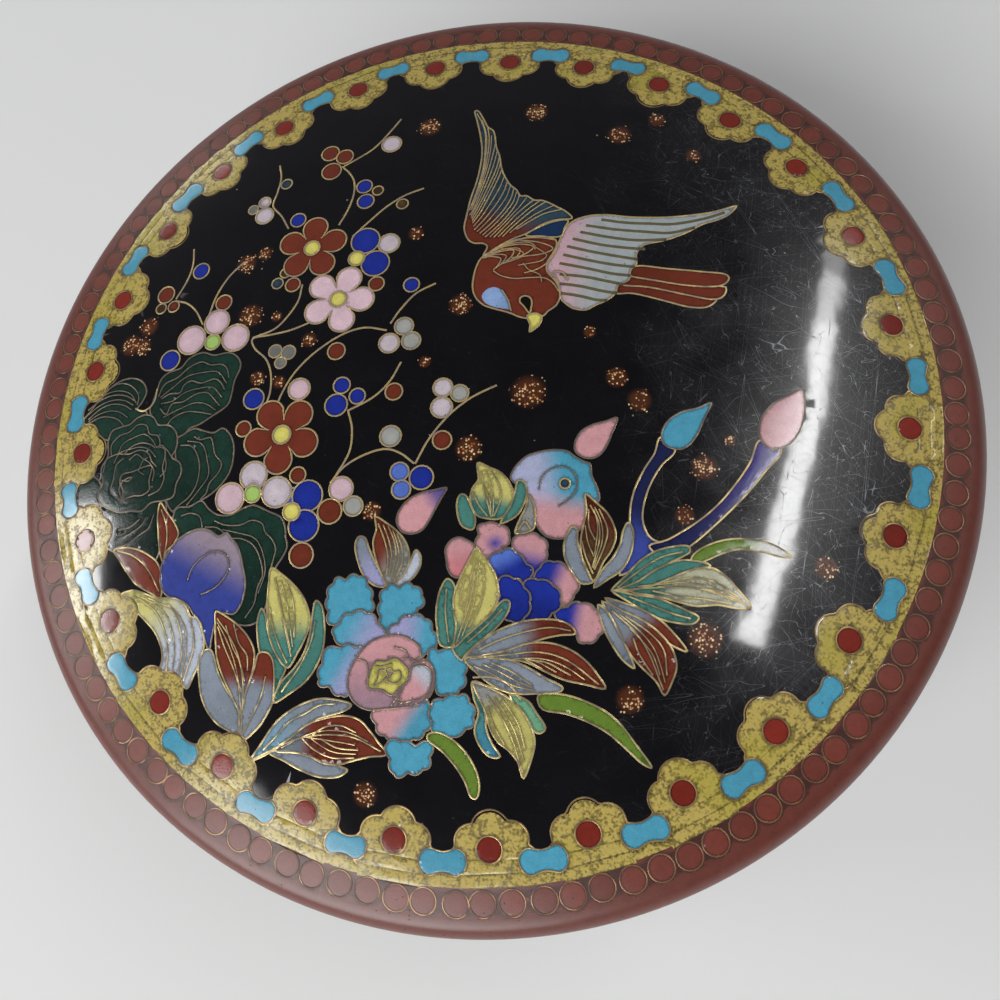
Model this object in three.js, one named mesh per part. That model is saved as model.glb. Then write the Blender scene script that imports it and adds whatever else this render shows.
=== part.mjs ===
// A round lidded box of enamelled copper (cloisonne), in millimetres, +Z up.
// The origin is in the middle of the foot ring's underside, where the box stands.
// Both pieces are turned shapes: each is one closed profile swept round the Z axis.
import * as THREE from 'three';

// ---- Driving dimensions -------------------------------------------------------------------
const WIDEST_RADIUS = 51;        // the lid's shoulder, the widest circle of the box
const SHOULDER_HEIGHT = 40;      // height of that widest circle
const SEAM_HEIGHT = 30;          // where the lid rests on the base
const SEAM_RADIUS = 50.6;        // outside of the lid and the base where they meet
const DOME_RADIUS = 199;         // radius of the sphere that the top is a shallow cap of
const SHOULDER_ROUNDING = 2;     // rounding between the dome and the lid's upright wall
const WALL = 1.8;                // copper with enamel on both faces

const BASE_UPRIGHT_FROM = 17;    // the base's wall is upright above this height
const BELLY_CENTRE_RADIUS = 36;  // the rounded belly runs in under the box to this radius
const BELLY_BOTTOM = 3.4;        // height of the bowl's underside
const FOOT_OUTER_RADIUS = 35;    // foot ring
const FOOT_INNER_RADIUS = 33.4;

const LIP_OUTER_RADIUS = 48.4;   // upright lip inside the mouth, which keeps the lid in place
const LIP_INNER_RADIUS = 47.4;
const LIP_TOP = 35;
const LIP_BOTTOM = 25;           // the lip is soldered to the wall from here up to the seam
const LIP_LEAD_IN = 0.3;         // small bevel on the lip's top edge

const SEGMENTS = 84;             // facets round each turned shape
const DOME_STEPS = 9;
const SHOULDER_STEPS = 5;
const BELLY_STEPS = 7;

// ---- Helpers ------------------------------------------------------------------------------
// Points along an arc of an ellipse, from one angle to another, both ends included.
function arc(centreR, centreZ, radiusR, radiusZ, fromDegrees, toDegrees, steps) {
  const points = [];
  for (let i = 0; i <= steps; i += 1) {
    const angle = THREE.MathUtils.degToRad(
      THREE.MathUtils.lerp(fromDegrees, toDegrees, i / steps));
    points.push(new THREE.Vector2(
      centreR + radiusR * Math.cos(angle), centreZ + radiusZ * Math.sin(angle)));
  }
  return points;
}

// The domed top and its rounded shoulder, from the middle out to the widest circle.
// inset moves the whole surface inwards, for the face under the lid.
function domedTop(inset) {
  const centreR = WIDEST_RADIUS - SHOULDER_ROUNDING;
  const toRounding = DOME_RADIUS - SHOULDER_ROUNDING;
  const sphereCentreZ = SHOULDER_HEIGHT - Math.sqrt(toRounding ** 2 - centreR ** 2);
  const meetingAngle = THREE.MathUtils.radToDeg(Math.acos(centreR / toRounding));
  const dome = arc(0, sphereCentreZ, DOME_RADIUS - inset, DOME_RADIUS - inset,
    90, meetingAngle, DOME_STEPS);
  dome[0].x = 0;
  const rounding = SHOULDER_ROUNDING - inset;
  const shoulder = arc(centreR, SHOULDER_HEIGHT, rounding, rounding,
    meetingAngle, 0, SHOULDER_STEPS);
  return [...dome, ...shoulder.slice(1)];
}

// A closed profile (radius, height), listed from the top of the axis outwards and back to it,
// swept round the Z axis.
function turned(profile) {
  const geometry = new THREE.LatheGeometry(profile.reverse(), SEGMENTS);
  geometry.rotateX(Math.PI / 2);
  return geometry;
}

function named(name, geometry, material) {
  const mesh = new THREE.Mesh(geometry, material);
  mesh.name = name;
  return mesh;
}

// ---- Finishes -----------------------------------------------------------------------------
const lidEnamel = new THREE.MeshStandardMaterial({
  color: new THREE.Color(0.05, 0.045, 0.06), roughness: 0.12, metalness: 0 });
const baseEnamel = new THREE.MeshStandardMaterial({
  color: new THREE.Color(0.3, 0.09, 0.06), roughness: 0.18, metalness: 0 });

// ---- The lid: a shallow dish of even thickness, upside down ---------------------------------
function lidGeometry() {
  const outside = domedTop(0);
  const inside = domedTop(WALL).reverse();
  return turned([
    ...outside,
    new THREE.Vector2(SEAM_RADIUS, SEAM_HEIGHT),
    new THREE.Vector2(SEAM_RADIUS - WALL, SEAM_HEIGHT),
    ...inside,
  ]);
}

// ---- The base: a round bowl with a foot ring below and a lip in its mouth --------------------
function baseGeometry() {
  const bellyR = SEAM_RADIUS - BELLY_CENTRE_RADIUS;
  const bellyZ = BASE_UPRIGHT_FROM - BELLY_BOTTOM;
  const outsideBelly = arc(BELLY_CENTRE_RADIUS, BASE_UPRIGHT_FROM, bellyR, bellyZ,
    0, -90, BELLY_STEPS);
  const insideBelly = arc(BELLY_CENTRE_RADIUS, BASE_UPRIGHT_FROM, bellyR - WALL, bellyZ - WALL,
    -90, 0, BELLY_STEPS);
  const floorZ = BELLY_BOTTOM + WALL;
  return turned([
    new THREE.Vector2(0, floorZ),
    ...insideBelly,
    new THREE.Vector2(SEAM_RADIUS - WALL, LIP_BOTTOM),
    new THREE.Vector2(LIP_INNER_RADIUS, LIP_BOTTOM),
    new THREE.Vector2(LIP_INNER_RADIUS, LIP_TOP),
    new THREE.Vector2(LIP_OUTER_RADIUS - LIP_LEAD_IN, LIP_TOP),
    new THREE.Vector2(LIP_OUTER_RADIUS, LIP_TOP - LIP_LEAD_IN),
    new THREE.Vector2(LIP_OUTER_RADIUS, SEAM_HEIGHT),
    new THREE.Vector2(SEAM_RADIUS, SEAM_HEIGHT),
    ...outsideBelly,
    new THREE.Vector2(FOOT_OUTER_RADIUS, BELLY_BOTTOM),
    new THREE.Vector2(FOOT_OUTER_RADIUS, 0),
    new THREE.Vector2(FOOT_INNER_RADIUS, 0),
    new THREE.Vector2(FOOT_INNER_RADIUS, BELLY_BOTTOM),
    new THREE.Vector2(0, BELLY_BOTTOM),
  ]);
}

const box = new THREE.Group();
box.add(named('base', baseGeometry(), baseEnamel));
box.add(named('lid', lidGeometry(), lidEnamel));

export default box;
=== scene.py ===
# %% [markdown]
# # A round cloisonne box
#
# The box is copper, turned and raised to a shallow domed lid and a bowl. Thin gilt wire is bent
# into cells on the copper, the cells are packed with coloured glass paste, and the whole is fired,
# ground flush and polished. So the picture on the lid isn't painted: every line in it is a wire and
# every patch of colour is a separate little pool of glass.
#
# A texture could fake this, but here each cell and each wire is real geometry. The edges between
# glass and metal stay sharp however close one looks, and each kind of glass has its own material.

# %% Open the fixed solids
import math
import random

import bpy
import numpy as np
from mathutils import Matrix, Vector, kdtree
from mathutils.geometry import delaunay_2d_cdt


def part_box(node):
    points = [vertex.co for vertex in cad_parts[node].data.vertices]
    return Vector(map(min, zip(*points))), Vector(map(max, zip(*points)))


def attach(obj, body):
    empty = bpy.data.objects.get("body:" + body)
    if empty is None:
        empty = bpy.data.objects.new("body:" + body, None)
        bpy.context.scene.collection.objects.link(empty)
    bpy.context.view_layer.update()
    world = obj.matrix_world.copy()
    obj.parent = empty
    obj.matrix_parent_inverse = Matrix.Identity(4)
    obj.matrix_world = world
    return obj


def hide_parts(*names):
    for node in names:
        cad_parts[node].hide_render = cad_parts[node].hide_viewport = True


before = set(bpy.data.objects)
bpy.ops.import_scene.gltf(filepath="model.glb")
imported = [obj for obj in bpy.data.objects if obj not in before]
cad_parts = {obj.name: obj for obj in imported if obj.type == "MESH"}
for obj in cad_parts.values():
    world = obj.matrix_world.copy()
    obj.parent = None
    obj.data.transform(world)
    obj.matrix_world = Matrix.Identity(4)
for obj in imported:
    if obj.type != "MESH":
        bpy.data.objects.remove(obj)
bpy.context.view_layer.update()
MM = 0.001
lid_low, lid_high = (np.array(corner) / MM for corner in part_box("lid"))
base_low, base_high = (np.array(corner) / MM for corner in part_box("base"))
print("lid, mm:", lid_low.round(2), lid_high.round(2))
print("base, mm:", base_low.round(2), base_high.round(2))

# %% [markdown]
# ## The camera
#
# The box is seen from close above, as one holds a telephone over it: about two radii away, leaning
# a little to the right and towards the near edge. So close, the near side of the rim looks wider
# than the far side, which a camera further off with a longer lens can't show.

# %% Place the camera
WIDEST = float(lid_high[0])
SHOULDER_HEIGHT = 40.0
CAMERA_DISTANCE = 1.9 * WIDEST
CAMERA_TURN, CAMERA_RISE = math.radians(24.54), math.radians(71.97)
AIM = Vector((0.0491 * WIDEST, -0.1789 * WIDEST, SHOULDER_HEIGHT))
SENSOR_MM, LENS_MM = 36.0, 33.57

camera_data = bpy.data.cameras.new("camera")
camera_data.sensor_width = SENSOR_MM
camera_data.lens = LENS_MM
camera_data.clip_start = 0.001
camera = bpy.data.objects.new("camera", camera_data)
bpy.context.scene.collection.objects.link(camera)
bpy.context.scene.camera = camera
backwards = Vector((math.sin(CAMERA_TURN) * math.cos(CAMERA_RISE),
                    -math.cos(CAMERA_TURN) * math.cos(CAMERA_RISE),
                    math.sin(CAMERA_RISE)))
rightwards = Vector((0, 1, 0)).cross(backwards).normalized()
upwards = backwards.cross(rightwards)
turn = Matrix((rightwards, upwards, backwards)).transposed().to_4x4()
camera.matrix_world = Matrix.Translation((AIM + backwards * CAMERA_DISTANCE) * MM) @ turn
print("camera at, mm:", [round(v / MM, 1) for v in camera.matrix_world.translation])

# %% [markdown]
# ## The shapes that the enamel lies on
#
# Both pieces are turned, so a picture can be laid out flat and then wrapped on. A "skin" does that:
# the distance from the middle of the flat drawing becomes a place along the turned profile, and the
# direction stays as it is. On the lid's dome the flat drawing is simply the plan. Past the rounded
# shoulder the distance runs on down the upright wall, so one drawing covers the whole lid.

# %% A turned surface, opened out flat
DOME_RADIUS, ROUNDING = 199.0, 2.0
SEAM_RADIUS = float(base_high[0])
SEAM_HEIGHT = float(lid_low[2])
WALL = 1.8
ENAMEL = 0.45


class Skin:
    """A turned surface. Distance on the flat drawing becomes a place along the profile."""

    def __init__(self, spread, radius, height):
        self.spread, self.radius, self.height = (np.array(v) for v in (spread, radius, height))
        out, down = np.gradient(self.radius, self.spread), np.gradient(self.height, self.spread)
        size = np.hypot(out, down)
        self.lean, self.rise = -down / size, out / size
        self.turned_over = False

    def turn_over(self):
        """For a drawing whose other side faces out."""
        self.lean, self.rise, self.turned_over = -self.lean, -self.rise, True

    def place(self, flat, lift):
        """Points in metres for flat points in mm, raised by lift mm off the surface."""
        far = np.hypot(flat[:, 0], flat[:, 1])
        way = flat / np.maximum(far, 1e-9)[:, None]
        around = (np.interp(far, self.spread, self.radius)
                  + lift * np.interp(far, self.spread, self.lean))
        high = (np.interp(far, self.spread, self.height)
                + lift * np.interp(far, self.spread, self.rise))
        return np.column_stack([way * around[:, None], high]) * MM


def arc_points(centre, radii, start, stop, count):
    """Points of an arc in the profile's plane, from one angle to another."""
    angle = np.radians(np.linspace(start, stop, count))
    return centre[0] + radii[0] * np.cos(angle), centre[1] + radii[1] * np.sin(angle)


def lid_outside():
    """Radius and height along the lid's outside, from its middle down to its bottom edge."""
    inner, tall = WIDEST - ROUNDING, DOME_RADIUS - ROUNDING
    meeting = math.degrees(math.acos(inner / tall))
    dome_centre = (0.0, float(lid_high[2]) - DOME_RADIUS)
    shoulder = (inner, dome_centre[1] + math.sqrt(tall ** 2 - inner ** 2))
    dome = arc_points(dome_centre, (DOME_RADIUS, DOME_RADIUS), 90, meeting, 160)
    rounding = arc_points(shoulder, (ROUNDING, ROUNDING), meeting, 0, 40)
    wall = np.linspace(WIDEST, SEAM_RADIUS, 20), np.linspace(shoulder[1], SEAM_HEIGHT, 20)
    radius = np.concatenate([dome[0], rounding[0][1:], wall[0][1:]])
    height = np.concatenate([dome[1], rounding[1][1:], wall[1][1:]])
    radius[0] = 0.0
    return radius, height, len(dome[0])


radius, height, dome_count = lid_outside()
along = np.concatenate([[0], np.cumsum(np.hypot(np.diff(radius), np.diff(height)))])
spread = np.where(np.arange(len(radius)) < dome_count, radius,
                  radius[dome_count - 1] + along - along[dome_count - 1])
lid_skin = Skin(spread, radius, height)
DOME_EDGE = float(radius[dome_count - 1])
LID_EDGE = float(spread[-1])
print("the lid's flat drawing: dome to", round(DOME_EDGE, 2), "edge at", round(LID_EDGE, 2))

# %% [markdown]
# ## Drawing in wire and glass
#
# The drawing is made as a jeweller would plan it: outlines laid one over another, the later ones
# hiding what is under them. Blender could keep them as a stack of thin shapes, but they would
# flicker through each other. Instead the whole flat drawing is cut once into triangles that follow
# every outline (a constrained Delaunay triangulation), and each triangle belongs to whatever lies
# on top there. Each kind of glass then becomes one closed sheet, and so do the wires, and they all
# meet edge to edge with no overlap.

# %% Curves for outlines
WIRE = 0.21


def circle(x, y, size, steps=None):
    """A ring of points."""
    angle = np.linspace(0, 2 * math.pi, steps or max(12, int(9 + 7 * size)), endpoint=False)
    return np.column_stack([x + size * np.cos(angle), y + size * np.sin(angle)])


def smooth(points, closed=False, steps=5):
    """A smooth line through a few given points (a Catmull-Rom curve)."""
    points = np.array(points, float)
    if closed:
        points = np.vstack([points[-1], points, points[:2]])
    else:
        points = np.vstack([2 * points[0] - points[1], points, 2 * points[-1] - points[-2]])
    line = []
    for before, start, stop, after in zip(points, points[1:], points[2:], points[3:]):
        for t in np.arange(steps) / steps:
            line.append(start + 0.5 * t * (stop - before + t * (
                2 * before - 5 * start + 4 * stop - after + t * (
                    3 * (start - stop) + after - before))))
    if not closed:
        line.append(points[-2])
    return np.array(line)


def offset(outline, distance):
    """A closed outline moved outwards by a distance, or inwards if it is negative."""
    ahead, behind = np.roll(outline, -1, 0) - outline, outline - np.roll(outline, 1, 0)
    area = np.sum(outline[:, 0] * np.roll(outline[:, 1], -1)
                  - outline[:, 1] * np.roll(outline[:, 0], -1))
    ahead /= np.maximum(np.linalg.norm(ahead, axis=1), 1e-9)[:, None]
    behind /= np.maximum(np.linalg.norm(behind, axis=1), 1e-9)[:, None]
    along = ahead + behind
    along /= np.maximum(np.linalg.norm(along, axis=1), 0.5)[:, None]
    out = np.column_stack([along[:, 1], -along[:, 0]]) * (1 if area > 0 else -1)
    stretch = 1 / np.maximum(np.sum(along * ahead, axis=1), 0.6)
    return outline + out * (distance * stretch)[:, None]


def ribbon(line, width):
    """The outline of a strip of wire that follows an open line."""
    ahead = np.gradient(line, axis=0)
    ahead /= np.maximum(np.linalg.norm(ahead, axis=1), 1e-9)[:, None]
    side = np.column_stack([-ahead[:, 1], ahead[:, 0]]) * width / 2
    line = line.copy()
    line[0] -= ahead[0] * width / 2
    line[-1] += ahead[-1] * width / 2
    return np.vstack([line + side, (line - side)[::-1]])


def lobed(centre, lobes, start=0.0, stop=360.0, steps=72):
    """The outline round overlapping round lobes (x, y, size), as seen from a centre."""
    outline = []
    for angle in np.radians(np.linspace(start, stop, steps, endpoint=stop - start < 360)):
        way = np.array([math.cos(angle), math.sin(angle)])
        reach = [0.3]
        for x, y, size in lobes:
            gap = np.array([x, y]) - centre
            across = gap[0] * way[1] - gap[1] * way[0]
            if abs(across) < size:
                reach.append(float(gap @ way) + math.sqrt(size ** 2 - across ** 2))
        outline.append(np.array(centre) + way * max(reach))
    return np.array(outline)


# %% A drawing that becomes sheets of glass and wire
class Drawing:
    """Outlines laid in order on one skin, then cut into pieces that meet edge to edge."""

    def __init__(self, skin, name):
        self.skin, self.name = skin, name
        self.points, self.lines, self.patches, self.crests = [], [], [], set()
        self.loose = set()

    def add_points(self, line):
        start = len(self.points)
        self.points += [Vector(p) for p in np.asarray(line, float).tolist()]
        return list(range(start, len(self.points)))

    def edges(self, line, closed=True):
        """Lines that the triangles must follow."""
        index = self.add_points(line)
        self.lines += list(zip(index, index[1:] + ([index[0]] if closed else [])))
        return index

    def area(self, outline, piece, paint):
        """A patch of one kind of glass, with no wire round it."""
        self.edges(outline)
        self.patches.append((np.array(outline, float), piece, paint))

    def crest(self, line, closed):
        """The raised middle line of a wire."""
        self.crests.update(self.edges(line, closed))

    def wire(self, line, width=WIRE, piece="wires"):
        """A wire along an open line."""
        line = np.asarray(line, float)
        self.area(ribbon(line, width), piece, None)
        self.crest(line, False)

    def cell(self, outline, piece, paint, width=WIRE, border=0.28, wires="wires"):
        """A wired cell: its wire, then its glass, with a line inside where the glass clears."""
        self.area(offset(outline, width / 2), wires, None)
        self.crest(outline, True)
        self.area(offset(outline, -width / 2), piece, paint)
        if border:
            self.edges(offset(outline, -width / 2 - border))

    def fill(self, outline, gap=0.5):
        """Loose points inside an outline, on one lattice for the whole drawing."""
        low, high = outline.min(axis=0), outline.max(axis=0)
        rows = np.arange(math.ceil(low[1] / gap / 0.866), high[1] / gap / 0.866)
        columns = np.arange(math.ceil(low[0] / gap) - 1, high[0] / gap + 1)
        if len(rows) and len(columns):
            row, column = (v.ravel() for v in np.meshgrid(rows, columns, indexing="ij"))
            spots = np.column_stack([(column + 0.5 * (row % 2)) * gap, row * gap * 0.866])
            self.loose.update(map(tuple, spots[inside(outline, spots)].round(5)))

    def cut(self):
        """Cuts the drawing into triangles. Each keeps the topmost patch that covers it."""
        self.add_points(sorted(self.loose))
        flat, _, triangles, came_from, _, _ = delaunay_2d_cdt(
            self.points, self.lines, [], 0, 1e-4, True)
        self.flat = np.array([tuple(p) for p in flat])
        self.triangles = np.array(triangles)
        self.on_crest = np.array([not self.crests.isdisjoint(c) for c in came_from])
        middles = self.flat[self.triangles].mean(axis=1)
        self.top = np.full(len(middles), -1)
        for number, (outline, _, _) in enumerate(self.patches):
            near = np.all((middles >= outline.min(axis=0)) & (middles <= outline.max(axis=0)),
                          axis=1).nonzero()[0]
            self.top[near[inside(outline, middles[near])]] = number
        print(self.name, len(self.points), "points,", len(self.triangles), "triangles")


def inside(outline, spots):
    """Which spots an outline winds round, counted by its crossings with a line to the right."""
    x, y = np.asarray(spots).T
    winds = np.zeros(len(x), int)
    for (ax, ay), (bx, by) in zip(outline, np.roll(outline, -1, 0)):
        left = (bx - ax) * (y - ay) - (x - ax) * (by - ay)
        winds += (ay <= y) & (by > y) & (left > 0)
        winds -= (ay > y) & (by <= y) & (left < 0)
    return winds != 0


# %% Closed sheets from the cut drawing
CREST_LIFT, WIRE_LIFT, GLASS_DIP, EDGE_SHADE = 0.03, 0.01, 0.006, 0.3


def closed_sheet(name, skin, flat, corners, tints, lift, depth=ENAMEL):
    """A closed sheet: a face on the skin, the same face below it, and walls along its edges."""
    if skin.turned_over:
        corners, tints = corners[:, ::-1], tints[:, ::-1]
    used, corners = np.unique(corners, return_inverse=True)
    corners = corners.reshape(-1, 3)
    count = len(used)
    places = np.vstack([skin.place(flat[used], lift[used]),
                        skin.place(flat[used], np.full(count, -depth))])
    edges = np.concatenate([corners[:, [0, 1]], corners[:, [1, 2]], corners[:, [2, 0]]])
    keys = edges.min(axis=1) * count + edges.max(axis=1)
    _, first, uses = np.unique(keys, return_index=True, return_counts=True)
    start, stop = edges[first[uses == 1]].T
    faces = np.concatenate([
        corners, corners[:, ::-1] + count,
        np.column_stack([stop, start, start + count]),
        np.column_stack([stop, start + count, stop + count])])
    mesh = bpy.data.meshes.new(name)
    mesh.vertices.add(len(places))
    mesh.vertices.foreach_set("co", places.ravel())
    mesh.loops.add(faces.size)
    mesh.loops.foreach_set("vertex_index", faces.ravel())
    mesh.polygons.add(len(faces))
    mesh.polygons.foreach_set("loop_start", np.arange(0, faces.size, 3))
    mesh.update(calc_edges=True)
    pairs = np.empty(len(mesh.edges) * 2, int)
    mesh.edges.foreach_get("vertices", pairs)
    pairs = pairs.reshape(-1, 2)
    rims = keys[first[uses == 1]]
    level = pairs // count
    low = pairs % count
    key = low.min(axis=1) * count + low.max(axis=1)
    sharp = (level[:, 0] == level[:, 1]) & np.isin(key, rims)
    mesh.attributes.new("sharp_edge", "BOOLEAN", "EDGE").data.foreach_set("value", sharp)
    colour = np.zeros((faces.size, 4))
    colour[:corners.size] = tints.reshape(-1, 4)
    colour[corners.size:2 * corners.size] = tints[:, ::-1].reshape(-1, 4)
    tint = mesh.attributes.new("tint", "FLOAT_COLOR", "CORNER")
    tint.data.foreach_set("color", colour.ravel())
    mesh.polygons.foreach_set("use_smooth", np.ones(len(faces), bool))
    sheet = bpy.data.objects.new(name, mesh)
    bpy.context.scene.collection.objects.link(sheet)
    print("  ", name, len(faces), "triangles")
    return sheet


def distance_to(spots, others):
    """How far each flat point is from the nearest of some others."""
    if not len(others):
        return np.ones(len(spots))
    tree = kdtree.KDTree(len(others))
    for number, (x, y) in enumerate(others):
        tree.insert((x, y, 0), number)
    tree.balance()
    return np.array([tree.find((x, y, 0))[2] for x, y in spots])


def make_sheets(drawing, finishes):
    """One closed sheet for each kind of glass, and one for the wires."""
    kinds = np.array([""] + [piece for _, piece, _ in drawing.patches])[drawing.top + 1]
    is_wire = np.char.endswith(kinds, "wires")
    at_wire = np.zeros(len(drawing.flat), bool)
    at_wire[drawing.triangles[is_wire].ravel()] = True
    clear = np.minimum(distance_to(drawing.flat, drawing.flat[at_wire]) / EDGE_SHADE, 1.0)
    for kind, (name, material, slot, node) in finishes.items():
        chosen = kinds == kind
        corners, top = drawing.triangles[chosen], drawing.top[chosen]
        tints = np.ones((len(corners), 3, 4))
        if kind.endswith("wires"):
            lift = np.where(drawing.on_crest, CREST_LIFT, WIRE_LIFT)
        else:
            lift = np.where(at_wire, -GLASS_DIP, 0.0)
            tints[:, :, 3] = clear[corners]
            for patch in np.unique(top):
                mine = top == patch
                paint = drawing.patches[patch][2]
                spots = drawing.flat[corners[mine]].reshape(-1, 2)
                tints[mine, :, :3] = np.broadcast_to(
                    paint(spots), (len(spots), 3)).reshape(-1, 3, 3)
        sheet = closed_sheet(name, drawing.skin, drawing.flat, corners, tints, lift)
        sheet.data.materials.append(material)
        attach(sheet, "root")
        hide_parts(node)


# %% [markdown]
# ## Colours
#
# Enamel colours are named once. A cell is rarely one flat colour: the maker lays two pastes and
# lets them meet in the middle, so most cells use a fade between two of them.

# %% Glass colours and fades
def tone(red, green, blue):
    """A colour as a screen shows it, turned into the light values that a shader wants."""
    return np.array([(v / 12.92 if v <= 0.04045 else ((v + 0.055) / 1.055) ** 2.4)
                     for v in (red, green, blue)])


BRICK = tone(0.45, 0.20, 0.14)
RIM_RED = tone(0.40, 0.19, 0.15)
RING_RED = tone(0.44, 0.19, 0.14)
DOT_RED = tone(0.50, 0.17, 0.13)
OCHRE = tone(0.74, 0.66, 0.36)
TURQUOISE = tone(0.32, 0.63, 0.74)
PALE_TURQUOISE = tone(0.55, 0.74, 0.84)
PINK = tone(0.80, 0.59, 0.61)
BLOSSOM_PINK = tone(0.86, 0.74, 0.78)
BLOSSOM_WHITE = tone(0.82, 0.77, 0.80)
GREY_WHITE = tone(0.66, 0.66, 0.64)
ROYAL = tone(0.13, 0.20, 0.60)
SKY = tone(0.36, 0.48, 0.82)
INK_BLUE = tone(0.12, 0.14, 0.30)
SLATE = tone(0.20, 0.29, 0.35)
ROCK_GREEN = tone(0.11, 0.22, 0.18)
TEAL = tone(0.30, 0.52, 0.48)
LEAF_GREEN = tone(0.41, 0.52, 0.20)
CREAM = tone(0.80, 0.77, 0.45)
PALE_CREAM = tone(0.80, 0.80, 0.68)
HEART_YELLOW = tone(0.88, 0.84, 0.44)
HEART_GREEN = tone(0.68, 0.82, 0.45)
MIST = tone(0.56, 0.60, 0.65)
PALE_MIST = tone(0.78, 0.81, 0.86)
BROWN = tone(0.36, 0.27, 0.17)


def plain(colour):
    """The same colour all over a cell."""
    return lambda spots: colour


def blend(first, second, start, stop):
    """One paint at the start, softly turning into the other at the stop."""
    start, run = np.array(start, float), np.array(stop, float) - np.array(start, float)

    def paint(spots):
        t = np.clip((spots - start) @ run / (run @ run), 0, 1)
        t = (t * t * (3 - 2 * t))[:, None]
        return first(spots) * (1 - t) + second(spots) * t
    return paint


def fade(colour, other, start, stop):
    """One colour at the start, softly turning into the other at the stop."""
    return blend(plain(colour), plain(other), start, stop)


def round_fade(colour, other, centre, reach):
    """One colour in the middle, softly turning into the other at a distance."""
    def paint(spots):
        t = np.clip(np.linalg.norm(spots - np.array(centre), axis=1) / reach, 0, 1)[:, None]
        return colour * (1 - t) + other * t
    return paint


# %% [markdown]
# ## Materials
#
# Shader nodes are written here as sums. A small class wraps a node's output, so that an expression
# such as `1 - mask * 0.4` adds the Math nodes by itself.

# %% Shader arithmetic
class Port:
    """A node's output, with arithmetic that adds Math nodes."""

    def __init__(self, finish, socket):
        self.finish, self.socket = finish, socket

    def math(self, operation, *others):
        return self.finish.add("ShaderNodeMath", {"operation": operation}, [self, *others])

    def __add__(self, other):
        return self.math("ADD", other)

    def __mul__(self, other):
        return self.math("MULTIPLY", other)

    def __sub__(self, other):
        return self.math("SUBTRACT", other)

    def __rsub__(self, other):
        return self.finish.add("ShaderNodeMath", {"operation": "SUBTRACT"}, [other, self])

    def __truediv__(self, other):
        return self.math("DIVIDE", other)

    def __pow__(self, other):
        return self.math("POWER", other)

    __radd__, __rmul__ = __add__, __mul__


class Finish:
    """A material under construction."""

    def __init__(self, name, **constants):
        self.material = bpy.data.materials.new(name)
        self.material.use_nodes = True
        self.tree = self.material.node_tree
        self.shader = self.tree.nodes["Principled BSDF"]
        for label, value in constants.items():
            self.shader.inputs[label.replace("_", " ")].default_value = value
        self.where = self.add("ShaderNodeTexCoord", {}, {}, "Object")

    def add(self, kind, settings, values, output=0):
        """Adds a node: its settings first, then values or links for its sockets."""
        node = self.tree.nodes.new(kind)
        for label, value in settings.items():
            if label == "stops":
                ramp = node.color_ramp
                while len(ramp.elements) < len(value):
                    ramp.elements.new(1.0)
                for stop, (position, colour) in zip(ramp.elements, value):
                    stop.position, stop.color = position, (*colour, 1.0)
            else:
                setattr(node, label, value)
        pairs = values.items() if isinstance(values, dict) else enumerate(values)
        for label, value in pairs:
            self.plug(node.inputs[label], value)
        return Port(self, node.outputs[output])

    def plug(self, socket, value):
        if isinstance(value, Port):
            self.tree.links.new(value.socket, socket)
        else:
            socket.default_value = value

    def noise(self, size, detail=2.0, rough=0.5, where=None, output=0, warp=0.0):
        """Cloudy noise whose features are about size mm across."""
        return self.add("ShaderNodeTexNoise", {}, {
            "Vector": where or self.where, "Scale": 1 / (size * MM), "Detail": detail,
            "Roughness": rough, "Distortion": warp}, output)

    def step(self, value, low, high, start=0.0, stop=1.0):
        """A soft step: start below low, stop above high."""
        return self.add("ShaderNodeMapRange", {"interpolation_type": "SMOOTHSTEP"}, {
            "Value": value, "From Min": low, "From Max": high,
            "To Min": start, "To Max": stop}, "Result")

    def mix(self, factor, first, second, blend="MIX"):
        """Mixes two colours."""
        colours = [(*c, 1.0) if isinstance(c, (tuple, np.ndarray)) else c for c in (first, second)]
        return self.add("ShaderNodeMix", {"data_type": "RGBA", "blend_type": blend}, {
            0: factor, 6: colours[0], 7: colours[1]}, 2)

    def scaled(self, colour, factor):
        """A colour made lighter or darker."""
        return self.add("ShaderNodeVectorMath", {"operation": "SCALE"}, {
            0: colour, "Scale": factor})

    def cells(self, size, where=None):
        """Scattered points about size mm apart: the distance to the nearest, and its chances."""
        near = self.add("ShaderNodeTexVoronoi", {}, {
            "Vector": where or self.where, "Scale": 1 / (size * MM)}, "Distance")
        colour = Port(self, near.socket.node.outputs["Color"])
        chances = self.add("ShaderNodeSeparateColor", {}, [colour], 0)
        return near, chances, Port(self, chances.socket.node.outputs[1])

    def specks(self, size, share, width):
        """Small round specks: one about every size mm, only a share of them, width mm wide."""
        near, chance, _ = self.cells(size)
        return self.step(near, width * 0.35 / size, width * 0.5 / size, 1.0, 0.0) * self.step(
            chance, share - 0.001, share, 1.0, 0.0)

    def bump(self, height, depth):
        """Turns a height into a bumped normal. Depth is in mm."""
        return self.add("ShaderNodeBump", {}, {
            "Height": height, "Distance": depth * MM, "Strength": 1.0})

    def finish(self, **links):
        for label, value in links.items():
            self.plug(self.shader.inputs[label.replace("_", " ")], value)
        return self.material


# %% [markdown]
# ### Glass in the cells
#
# Fired glass paste is grainy: it holds tiny bubbles and dark pin holes, the colour is cloudy, and it
# is darker where it thins out against the wire. The tint comes with the mesh, cell by cell. Its
# fourth value is 0 at the wire and 1 inside, which gives the dark edge.

# %% Glass material
LEAD_GLASS = 1.6


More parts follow.
